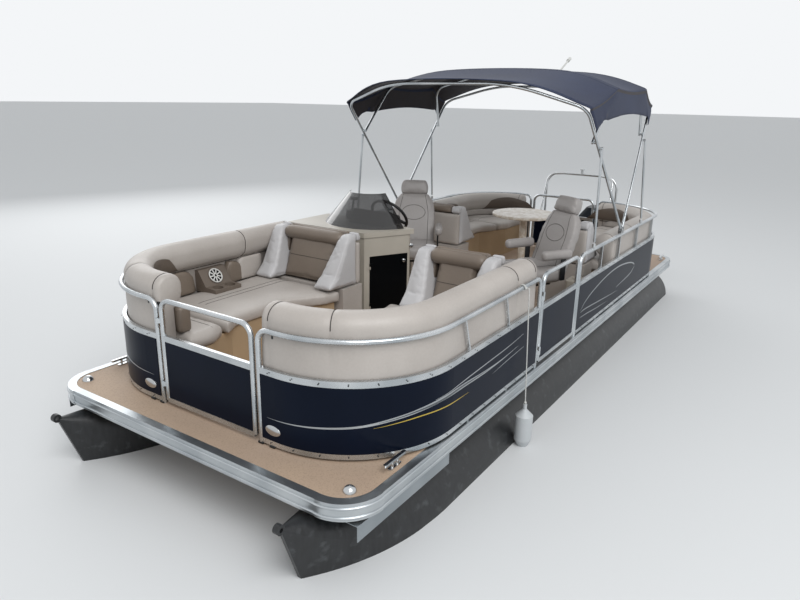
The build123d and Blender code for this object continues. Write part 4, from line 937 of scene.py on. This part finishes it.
back_outline = mirrored([
    (0.222, 0.0), (0.232, 0.22), (0.226, 0.38), (0.196, 0.49), (0.140, neck_height + 0.01),
])
head_outline = mirrored([(0.136, neck_height - 0.006), (0.142, 0.62), (0.120, head_top)])
chair_parts = {}
for name, (place, turn) in chairs.items():
    stand = Matrix.Translation(place) @ Matrix.Rotation(math.radians(turn), 4, "Z")
    seat = bmesh.new()
    add_block(seat, (-0.20, -0.25, 0.378), (0.265, 0.25, 0.500), 0.03, stand)
    seat_piece = cushion(f"{name}_seat", seat, name, chair_vinyl, 0.018, 6, 0.002, 0.016)
    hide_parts(name)
    back = extruded(back_outline, stand @ lean @ Matrix.Translation((0, 0, -back_depth)), back_depth)
    back_piece = cushion(f"{name}_back", back, name, chair_vinyl, 0.014, 6, 0.0, 0.012)
    head = extruded(head_outline, stand @ lean @ Matrix.Translation((0, 0, -0.075)), 0.090)
    cushion(f"{name}_head", head, name, chair_vinyl, 0.014, 5, 0.0, 0.010)
    plate = bmesh.new()
    add_block(plate, (-0.13, -0.13, 0.3305), (0.13, 0.13, 0.379), 0.008, stand)
    for side_name, side in sides.items():
        arm = bmesh.new()
        low_y, high_y = sorted((side * 0.228, side * 0.302))
        add_block(arm, (-0.215, low_y, 0.592), (0.098, high_y, 0.680), 0.030, stand)
        cushion(f"{name}_arm_{side_name}", arm, name, chair_vinyl, 0.012, 4, 0.0, 0.004)
        middle = side * 0.256
        add_block(plate, (-0.17, middle - 0.008, 0.40), (-0.12, middle + 0.008, 0.62), 0.004, stand)
    make_piece(f"{name}_frame", plate, name, black_plastic)
    chair_parts[name] = (stand, back_piece, seat_piece)
print("chairs", len(chairs), "cushions so far", len(cushions))

# %% [markdown]
# ## Swell the cushions
# Every cushion becomes cloth with air pressure inside and no weight, and one run of twenty
# frames swells them all. A cap on how far each point may move keeps them in their places.

# %% Swell the cushions
swell_frames = 20
started = {piece: [vert.co.copy() for vert in piece.data.vertices] for piece, _ in cushions}
for piece, _ in cushions:
    cloth = piece.modifiers.new("cloth", "CLOTH")
    cloth.settings.quality = 4
    cloth.settings.use_pressure = True
    cloth.settings.uniform_pressure_force = 4.0
    cloth.settings.effector_weights.gravity = 0.0
    cloth.collision_settings.use_collision = False
    cloth.point_cache.frame_start = 1
    cloth.point_cache.frame_end = swell_frames
for frame_number in range(1, swell_frames + 1):
    bpy.context.scene.frame_set(frame_number)
graph = bpy.context.evaluated_depsgraph_get()
swollen = {
    piece: [vert.co.copy() for vert in piece.evaluated_get(graph).data.vertices]
    for piece, _ in cushions
}
for piece, swell in cushions:
    piece.modifiers.clear()
    for vert, old, new in zip(piece.data.vertices, started[piece], swollen[piece]):
        shift = new - old
        vert.co = old + shift * min(1.0, swell / max(shift.length, 1e-6))
    piece.data.update()
bpy.context.scene.frame_set(1)
for piece, _ in cushions:
    finer = piece.modifiers.new("finer", "SUBSURF")
    finer.levels = finer.render_levels = 1
    apply_modifiers(piece)
    piece.data.shade_smooth()
face_count = sum(len(piece.data.polygons) for piece, _ in cushions)
print("cushions swollen", len(cushions), "faces", face_count)

# %% [markdown]
# ## Sewn lines and piping
# A sewn line is drawn in plan and dropped onto the swollen cushion by casting rays, so it
# follows the crown of the cushion. Thin tubes half sunk into the surface show as piping.

# %% Sewn lines on the cushions
seam_radius = 0.0022


def smooth_line(points, count):
    """Return count + 1 points on a smooth curve through all the points."""
    padded = [points[0] * 2 - points[1], *points, points[-1] * 2 - points[-2]]
    line = []
    for k in range(count + 1):
        t = k / count * (len(points) - 1)
        i = min(int(t), len(points) - 2)
        a, b, c, d = padded[i:i + 4]
        t -= i
        line.append(0.5 * (2 * b + (c - a) * t + (2 * a - 5 * b + 4 * c - d) * t * t
                           + (3 * b - a - 3 * c + d) * t ** 3))
    return line


def draped(piece, points, toward, reach=0.35):
    """Drop points onto a piece along a direction and keep those that land."""
    data = piece.data
    skin = BVHTree.FromPolygons(
        [vert.co for vert in data.vertices], [face.vertices for face in data.polygons]
    )
    hits = [skin.ray_cast(point - toward * reach, toward, 2 * reach)[0] for point in points]
    return [hit for hit in hits if hit is not None]


def sew(mesh, piece, points, toward):
    """Add a sewn line where the points land on the piece."""
    landed = draped(piece, points, toward)
    if len(landed) > 1:
        add_tube(mesh, landed, seam_radius, 5)


down = Vector((0, 0, -1))
padded_pieces = {piece.name: piece for piece, _ in cushions}
sewn_lines = {
    # cushion: end, side, insets from the fence, first and last distance along it
    "seat_bow_starboard_long": (1, -1, (0.43, 0.49), run_to(1, 2.60), run_to(1, 1.57)),
    "seat_bow_starboard_front": (1, -1, (0.36,), 0.36, run_to(1, 2.68)),
    "seat_bow_port_long": (1, 1, (0.43, 0.49), run_to(1, 2.60), run_to(1, 1.57)),
    "seat_bow_port_front": (1, 1, (0.36,), 0.46, run_to(1, 2.68)),
    "seat_aft_port_long": (-1, 1, (0.42,), run_to(-1, -1.98), run_to(-1, -0.74)),
    "seat_aft_starboard_long": (-1, -1, (0.42,), run_to(-1, -1.98), run_to(-1, -0.74)),
    "seat_aft_port_corner": (-1, 1, (0.40,), 0.50, run_to(-1, -1.92)),
    "seat_aft_starboard_corner": (-1, -1, (0.40,), 0.56, run_to(-1, -1.92)),
}
for name, (end, side, insets, first, last) in sewn_lines.items():
    for inset in insets:
        line = [fence_point(end, side, run, inset, seat_height) for run in steps(first, last, 0.04)]
        sew(piping, padded_pieces[name], line, down)
for name, (node, end_x, face, inner, outer) in chaises.items():
    low, high = sorted((inner, outer))
    toward = Vector((-face, 0, 0))
    middle = padded_pieces[f"{name}_band_2"]
    across = steps(low + wing + strip + 0.008, high - wing - strip - 0.008, 0.01)
    sew(piping, middle, [Vector((end_x - face * 0.1, y, deck_top + 0.62)) for y in across], toward)
for name, (stand, back_piece, seat_piece) in chair_parts.items():
    turn = stand.to_3x3()
    into = -(turn @ lean_out)
    to_back = stand @ lean
    stitches = bmesh.new()
    oval = [
        to_back @ Vector((0.118 * math.cos(t), 0.345 + 0.076 * math.sin(t), 0.0))
        for t in (*turns(36), 2 * math.pi)
    ]
    sew(stitches, back_piece, oval, into)
    for side in (1, -1):
        rib = [
            Vector((side * across, along, 0.0))
            for across, along in ((0.150, 0.02), (0.148, 0.2), (0.146, 0.36), (0.112, 0.53))
        ]
        sew(stitches, back_piece, [to_back @ p for p in smooth_line(rib, 20)], into)
        rim = [Vector((x, side * 0.15, 0.5)) for x in steps(-0.16, 0.245, 0.02)]
        sew(stitches, seat_piece, [stand @ p for p in rim], down)
    make_piece(f"{name}_stitches", stitches, name, piping_vinyl)
# Besides the real seams, this piece holds the painted shade line along the underside of each bolster
# roll.
make_piece("piping", piping, "hull", piping_vinyl)
print("sewn lines", len(sewn_lines))

# %% [markdown]
# ## Sunshade
# The shade is one sheet. Its section at each of the four bows is a smooth curve, and between
# two bows the cloth sags a little on top and its hem draws up. The sides ripple near the hem
# where the cloth is gathered. Thickness comes last: the inner skin takes the coated side.

# %% Sunshade
bow_sections = [
    # four points of one half of a section, from the hem up to the crown, at each bow from aft
    [
        (-1.4968, 1.2122, 2.1518), (-1.6027, 1.1962, 2.2973),
        (-1.6505, 1.1362, 2.3630), (-1.7682, 0.5875, 2.5247),
    ],
    [
        (-1.3929, 1.2122, 2.2351), (-1.3527, 1.1962, 2.4310),
        (-1.3364, 1.1362, 2.5106), (-1.3102, 0.5875, 2.6379),
    ],
    [
        (-0.1731, 1.2122, 2.2197), (-0.3826, 1.1962, 2.4344),
        (-0.4393, 1.1362, 2.4925), (-0.5755, 0.5875, 2.6320),
    ],
    [
        (0.0941, 1.2122, 2.1390), (0.2244, 1.1962, 2.2773),
        (0.2801, 1.1362, 2.3364), (0.4344, 0.5875, 2.5001),
    ],
]
top_sag, hem_rise, ripple = 0.022, 0.035, 0.007
across_count, span_rows = 56, 10
crown, underside_over = across_count // 2, 2.0


def shade_row(v):
    """Return one row of points across the shade; v counts bows from aft, 0 to 3."""
    i = min(int(v), 2)
    t = v - i
    half = [Vector(a).lerp(Vector(b), t) for a, b in zip(bow_sections[i], bow_sections[i + 1])]
    other_half = [Vector((p.x, -p.y, p.z)) for p in reversed(half)]
    row = smooth_line(half + other_half, across_count)
    slack = math.sin(math.pi * t)
    for k, point in enumerate(row):
        up_share = min(k, across_count - k) / (across_count / 2)
        hem_share = max(0.0, 1.0 - up_share * 4.5)
        point.z -= top_sag * slack * (1.0 - hem_share)
        point.z += hem_rise * slack * hem_share
        wave = math.sin(v * 13.0 + up_share * 9.0) + 0.5 * math.sin(v * 29.0 + 1.3)
        point.y += math.copysign(ripple * wave * hem_share, point.y) * (0.3 + 0.7 * slack)
    return row


shade = bmesh.new()
shade_rows = [shade_row(k / span_rows) for k in range(3 * span_rows + 1)]
grid = [[shade.verts.new(point) for point in row] for row in shade_rows]
for low_row, high_row in zip(grid, grid[1:]):
    for k in range(across_count):
        shade.faces.new((low_row[k], low_row[k + 1], high_row[k + 1], high_row[k]))
shade_area = sum(face.calc_area() for face in shade.faces)
width = sum((a - b).length for a, b in zip(shade_rows[0], shade_rows[0][1:]))
length = sum((a[crown] - b[crown]).length for a, b in zip(shade_rows, shade_rows[1:]))
print("shade across", round(width, 3), "along", round(length, 3), "area", round(shade_area, 3))
shade_piece = make_piece("sunshade", shade, None, canvas_top, canvas_under)
outward = shade_piece.data.polygons[span_rows * across_count + crown].normal.z
thick = shade_piece.modifiers.new("cloth", "SOLIDIFY")
thick.thickness = 0.0024
thick.offset = 1.0 if outward > 0 else -1.0
thick.material_offset = 1
thick.use_rim = True
apply_modifiers(shade_piece)
for face in shade_piece.data.polygons:
    face.material_index = int(face.normal.z < 0 and face.center.z > underside_over)
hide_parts("canopy")

hems = bmesh.new()


def add_hems(places, lift, radius):
    """Add tubes across the sheet at these bow counts."""
    for v in places:
        add_tube(hems, [point + Vector((0, 0, lift)) for point in shade_row(v)], radius)


add_hems((0.0, 3.0), 0.001, 0.0045)
add_hems((0.09, 2.91), 0.001, 0.0016)
for k in (0, across_count):
    add_tube(hems, [row[k] for row in shade_rows], 0.004)
add_hems((0.95, 1.05, 1.95, 2.05), 0.003, 0.0014)
hem_piece = make_piece("sunshade_hems", hems, None, canvas_top)
for piece in (shade_piece, hem_piece):
    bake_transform(piece)
print("sunshade made")

# %% [markdown]
# ## Stripes and plates
# The decoration is thin film on the fence panels: two silver sweeps and a yellow one on each
# bow panel and a long loop on each aft panel. A ribbon follows a smooth line and swells and
# tapers. The ovals by the front gate are bare metal plates.

# %% Stripes and plates
film_out = -0.0149
stripe_silver = start_material("silver_film", 0.3, 0.6, Base_Color=linear("#A9ADB0"))[0]
stripe_grey = start_material("dark_silver_film", 0.35, 0.5, Base_Color=linear("#5B6064"))[0]
stripe_yellow = start_material("yellow_film", 0.35, Base_Color=linear("#B29A3A"))[0]


def ribbon(mesh, end, side, line, inset):
    """Add a flat ribbon on the fence panel; each row of the line is run, height and width."""
    rows = smooth_line([Vector(entry) for entry in line], 12 * (len(line) - 1))
    for (run_a, up_a, wide_a), (run_b, up_b, wide_b) in zip(rows, rows[1:]):
        corners = [
            fence_point(end, side, run, inset, up + sign * max(wide, 0.0008) / 2)
            for run, up, wide, sign in (
                (run_a, up_a, wide_a, -1), (run_b, up_b, wide_b, -1),
                (run_b, up_b, wide_b, 1), (run_a, up_a, wide_a, 1),
            )
        ]
        mesh.faces.new([mesh.verts.new(corner) for corner in corners])


def by_x(end, points):
    """Turn rows of x, height and width into rows of run, height and width."""
    return [(run_to(end, x), up, wide) for x, up, wide in points]


stripes = {
    # name: end, material, rows of run or x, height and width, and place off the fence line
    "sweep_main": (1, stripe_silver, [
        (0.500, 0.182, 0.001), (0.664, 0.188, 0.006), (0.840, 0.198, 0.010), (1.048, 0.214, 0.013),
        (1.264, 0.246, 0.018), (1.532, 0.276, 0.024), (1.790, 0.276, 0.026), (2.050, 0.266, 0.018),
        (2.300, 0.268, 0.008), (2.560, 0.285, 0.002)], film_out),
    "sweep_core": (1, stripe_grey, [
        (1.150, 0.229, 0.002), (1.400, 0.262, 0.010), (1.700, 0.277, 0.013), (1.990, 0.269, 0.007),
        (2.150, 0.266, 0.001)], film_out - 0.0004),
    "sweep_upper": (1, stripe_silver, [
        (1.500, 0.290, 0.002), (1.800, 0.306, 0.007), (2.100, 0.318, 0.007), (2.400, 0.330, 0.006),
        (2.640, 0.350, 0.003)], film_out),
    "sweep_lower": (1, stripe_silver, [
        (2.180, 0.215, 0.001), (2.380, 0.232, 0.005), (2.660, 0.250, 0.003)], film_out),
    "sweep_yellow": (1, stripe_yellow, [
        (1.120, 0.200, 0.001), (1.268, 0.216, 0.005), (1.400, 0.224, 0.007), (1.536, 0.220, 0.007),
        (1.688, 0.212, 0.006), (1.860, 0.206, 0.001)], film_out),
    "loop": (-1, stripe_silver, by_x(-1, [
        (0.230, 0.200, 0.002), (0.150, 0.245, 0.008), (0.010, 0.290, 0.010), (-0.180, 0.328, 0.010),
        (-0.400, 0.360, 0.010), (-0.650, 0.378, 0.011), (-0.910, 0.375, 0.012), (-1.240, 0.335, 0.012),
        (-1.400, 0.280, 0.011), (-1.310, 0.222, 0.010), (-1.120, 0.198, 0.009),
        (-0.800, 0.175, 0.004)]), film_out),
    "loop_lower": (-1, stripe_silver, by_x(-1, [
        (0.220, 0.185, 0.004), (0.100, 0.188, 0.008), (-0.220, 0.168, 0.008), (-0.560, 0.146, 0.006),
        (-0.860, 0.128, 0.001)]), film_out),
    "loop_foot": (-1, stripe_silver, by_x(-1, [
        (0.220, 0.138, 0.004), (0.050, 0.132, 0.007), (-0.240, 0.112, 0.006),
        (-0.560, 0.098, 0.001)]), film_out),
}
for name, (end, material, line, inset) in stripes.items():
    film = bmesh.new()
    for side in (1, -1):
        ribbon(film, end, side, line, inset)
    bmesh.ops.remove_doubles(film, verts=film.verts, dist=1e-5)
    make_piece(f"film_{name}", film, "hull", material)

plates = bmesh.new()
plate_half_run, plate_half_height = 0.056, 0.031
plate_run, plate_face, plate_rise = 0.540, -0.0145, 0.112
for side in (1, -1):
    for scale, proud in ((1.0, 0.0030), (0.78, 0.0040)):
        rings = []
        for grow, out in ((1.0, 0.0), (1.0, proud * 0.6), (0.93, proud)):
            ring = []
            for turn in turns(40):
                run = plate_run + scale * grow * plate_half_run * math.cos(turn)
                height = plate_rise + scale * grow * plate_half_height * math.sin(turn)
                ring.append(fence_point(1, side, run, plate_face - out, height))
            rings.append(ring)
        add_skin(plates, rings)
make_piece("bare_plates", plates, "hull", stainless)

# %% [markdown]
# ## Screws, clamps and feet
# The flat mid rail carries a dark screw every hand's breadth. Black clamps close the ends of
# the front sections, and the gate posts stand in black plastic feet.

# %% Screws and clamps
screw_pitch, screw_radius = 0.152, 0.0042
screw_profile = [(screw_radius, -0.001), (screw_radius, 0.0008), (screw_radius / 2, 0.0022)]
screw_rows = [
    # end, side, first and last distance along the fence
    (1, 1, 0.52, run_to(1, 1.20)), (1, -1, 0.52, run_to(1, -0.08)),
    (-1, 1, 0.48, run_to(-1, 0.30)), (-1, -1, 0.52, run_to(-1, -0.24)),
]
screws = bmesh.new()
for end, side, first, last in screw_rows:
    for height, face in ((0.454, -0.0191), (0.030, -0.0161)):
        for run in steps(first, last, screw_pitch):
            spot = fence_point(end, side, run, face, height)
            outward = (spot - fence_point(end, side, run, 0.0, height)).normalized()
            across = outward.orthogonal().normalized()
            add_lathe(screws, axes_at(across, outward.cross(across), outward, spot), screw_profile, 8)
make_piece("rail_screws", screws, "hull", black_plastic)
fittings = bmesh.new()
post_x = 3.098
for side in (1, -1):
    for y in (side * 0.44, side * 0.53):
        for low, high, edge_radius in (
            ((-0.022, -0.010, 0.640), (-0.008, 0.010, 0.668), 0.003),
            ((-0.026, -0.020, 0.0004), (0.030, 0.020, 0.014), 0.004),
        ):
            post = Vector((post_x, y, deck_top))
            add_block(fittings, post + Vector(low), post + Vector(high), edge_radius)
make_piece("clamps_and_feet", fittings, "hull", black_plastic)
print("screws and fittings made")

# %% [markdown]
# ## Speaker and boss
# The speaker's white grille is a ring with nine spokes over a black cone. The console
# carries a blank round boss over its door.

# %% Speaker and boss
speaker_middle = Vector((2.120, -1.0517, deck_top + 0.5245))
face_up = Vector((0.0, -0.080, 0.121)).normalized()
face_out = Vector((1.0, 0.0, 0.0)).cross(face_up).normalized()
face_out = face_out if face_out.z > 0 else -face_out
on_face = axes_at(Vector((1, 0, 0)), face_up, face_out, speaker_middle + face_out * 0.0062)
cone = bmesh.new()
cone_profile = [(0.060, 0.0), (0.058, 0.0012), (0.030, 0.0008), (0.006, 0.003), (0.002, 0.0036)]
add_lathe(cone, on_face, cone_profile)
make_piece("speaker_cone", cone, "hull", black_gloss)
grille = bmesh.new()
spokes, grille_height = 9, 0.004
add_tube(grille, circle(on_face, 0.056, grille_height, 48), 0.0055, 8, closed=True)
for turn in turns(spokes):
    place = on_face @ Matrix.Rotation(turn, 4, "Z")
    add_block(grille, (0.010, -0.0048, 0.0015), (0.055, 0.0048, 0.0065), 0.0015, place)
add_tube(grille, circle(on_face, 0.014, grille_height, 24), 0.004, 6, closed=True)
make_piece("speaker_grille", grille, "hull", white_plastic)

door_plane_x = Vector((-0.42, 0.21, 0.0)).normalized()
door_plane_out = Vector((0.21, 0.42, 0.0)).normalized()
boss_middle = Vector((0.7726, -0.0863, deck_top + 0.670)) + door_plane_out * 0.0005
upright = Vector((0, 0, 1))
boss = bmesh.new()
add_lathe(boss, axes_at(door_plane_x, upright, door_plane_out, boss_middle), [
    (0.020, 0.0), (0.020, 0.003), (0.016, 0.005), (0.004, 0.0055),
])
make_piece("console_boss", boss, "hull", stainless)
print("speaker and boss made")

# %% [markdown]
# ## Fender line
# The line runs from its hitch on the top rail over the rail's edge and straight down to the
# fender's eye. The curve passes the same points as the hard part's line. The hitch is two
# turns of the same line round the rail.

# %% Fender line
line_radius = 0.004
rail_axis = Vector((1.470, 1.262, 1.160))
line_route = [
    (1.470, 1.278, 1.160), (1.470, 1.293, 1.160), (1.470, 1.308, 1.160), (1.470, 1.3085, 1.148),
    (1.470, 1.327, 0.740), (1.470, 1.3455, 0.332), (1.470, 1.346, 0.320),
]
line_data = bpy.data.curves.new("fender_line", "CURVE")
line_data.dimensions = "3D"
line_data.bevel_depth = line_radius
line_data.bevel_resolution = 3
line_data.resolution_u = 8
thread = line_data.splines.new("NURBS")
thread.points.add(len(line_route) - 1)
for point, place in zip(thread.points, line_route):
    point.co = (*place, 1.0)
thread.order_u = 3
thread.use_endpoint_u = True
line_data.materials.append(braid)
fender_line = add_object("fender_line_rope", line_data)
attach(fender_line, "hull")
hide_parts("fender_line")
hitch = bmesh.new()
coil_radius, coil_width, coil_points = 0.0202, 0.020, 41
coil = []
for k in range(coil_points):
    turn, along = 2 * math.pi * k / 20, k / (coil_points - 1)
    coil.append(rail_axis + Vector((
        coil_width * (0.5 - along), coil_radius * math.cos(turn), coil_radius * math.sin(turn)
    )))
add_tube(hitch, coil, line_radius, 8)
for radius, place in ((0.011, (1.470, 1.283, 1.158)), (0.010, (1.470, 1.346, 0.332))):
    bmesh.ops.create_uvsphere(
        hitch, u_segments=12, v_segments=8, radius=radius, matrix=Matrix.Translation(place)
    )
hitch_piece = make_piece("fender_hitch", hitch, "hull", braid)
print("fender line made")

# %% [markdown]
# ## Door latches
# Two round polished latches cap the knobs on the door's free edge and swing with the door.

# %% Door latches
door_free_edge, latch_setback = Vector((0.805, -0.1025, 0.0)), 0.042
door_along, door_out = Vector((0.894, -0.447, 0.0)), Vector((0.447, 0.894, 0.0))
latch_profile = [
    (0.0165, 0.0006), (0.0165, 0.0120), (0.0135, 0.0150), (0.0105, 0.0158), (0.0040, 0.0162),
]
latches = bmesh.new()
for height in (0.630, 1.018):
    middle = door_free_edge + upright * height + door_along * latch_setback
    add_lathe(latches, axes_at(door_along, upright, door_out, middle), latch_profile, 24)
make_piece("door_latches", latches, "console_door", stainless)
print("latches made")

# %% [markdown]
# ## Floor and light
# The floor stands in for still water, at Z = 0. A big soft lamp high off the port bow gives
# shape, a weaker one fills the starboard side, and a pale world lights the rest evenly.

# %% Floor and lamps
floor_mesh = bmesh.new()
bmesh.ops.create_grid(floor_mesh, x_segments=1, y_segments=1, size=150.0)
floor_data = bpy.data.meshes.new("floor")
floor_mesh.to_mesh(floor_data)
floor_mesh.free()
floor = add_object("floor", floor_data)
floor_data.materials.append(start_material("pale_floor", 0.7, Base_Color=linear("#DADCDD"))[0])

lamp_target = Vector((0.0, 0.0, 0.6))
lamps = {
    # name: place, size, power
    "key": ((6.0, 7.0, 9.0), 7.0, 760.0),
    "fill": ((-3.0, -9.0, 6.0), 8.0, 300.0),
}
for name, (place, size, power) in lamps.items():
    lamp_data = bpy.data.lights.new(name, "AREA")
    lamp_data.size = size
    lamp_data.energy = power
    lamp = add_object(name, lamp_data)
    turn = (lamp_target - Vector(place)).to_track_quat("-Z", "Y").to_matrix().to_4x4()
    lamp.matrix_world = Matrix.Translation(place) @ turn

world = bpy.data.worlds.new("studio")
bpy.context.scene.world = world
world.use_nodes = True
tree = world.node_tree
background = tree.nodes["Background"]
seen = add_node(tree, "ShaderNodeLightPath")
is_indirect = add_node(
    tree, "ShaderNodeMath", operation="MAXIMUM",
    links=[(0, seen.outputs["Is Transmission Ray"]), (1, seen.outputs["Is Glossy Ray"])],
)
shown = add_node(
    tree, "ShaderNodeMapRange", links=[("Value", is_indirect.outputs[0])],
    values=[("To Min", 0.70), ("To Max", 0.92)],
)
strength = add_node(
    tree, "ShaderNodeMath", operation="MAXIMUM",
    links=[(0, shown.outputs[0]), (1, seen.outputs["Is Camera Ray"])],
)
background.inputs["Color"].default_value = linear("#F4F6F8")
tree.links.new(strength.outputs[0], background.inputs["Strength"])
bpy.context.scene.view_settings.view_transform = "Standard"
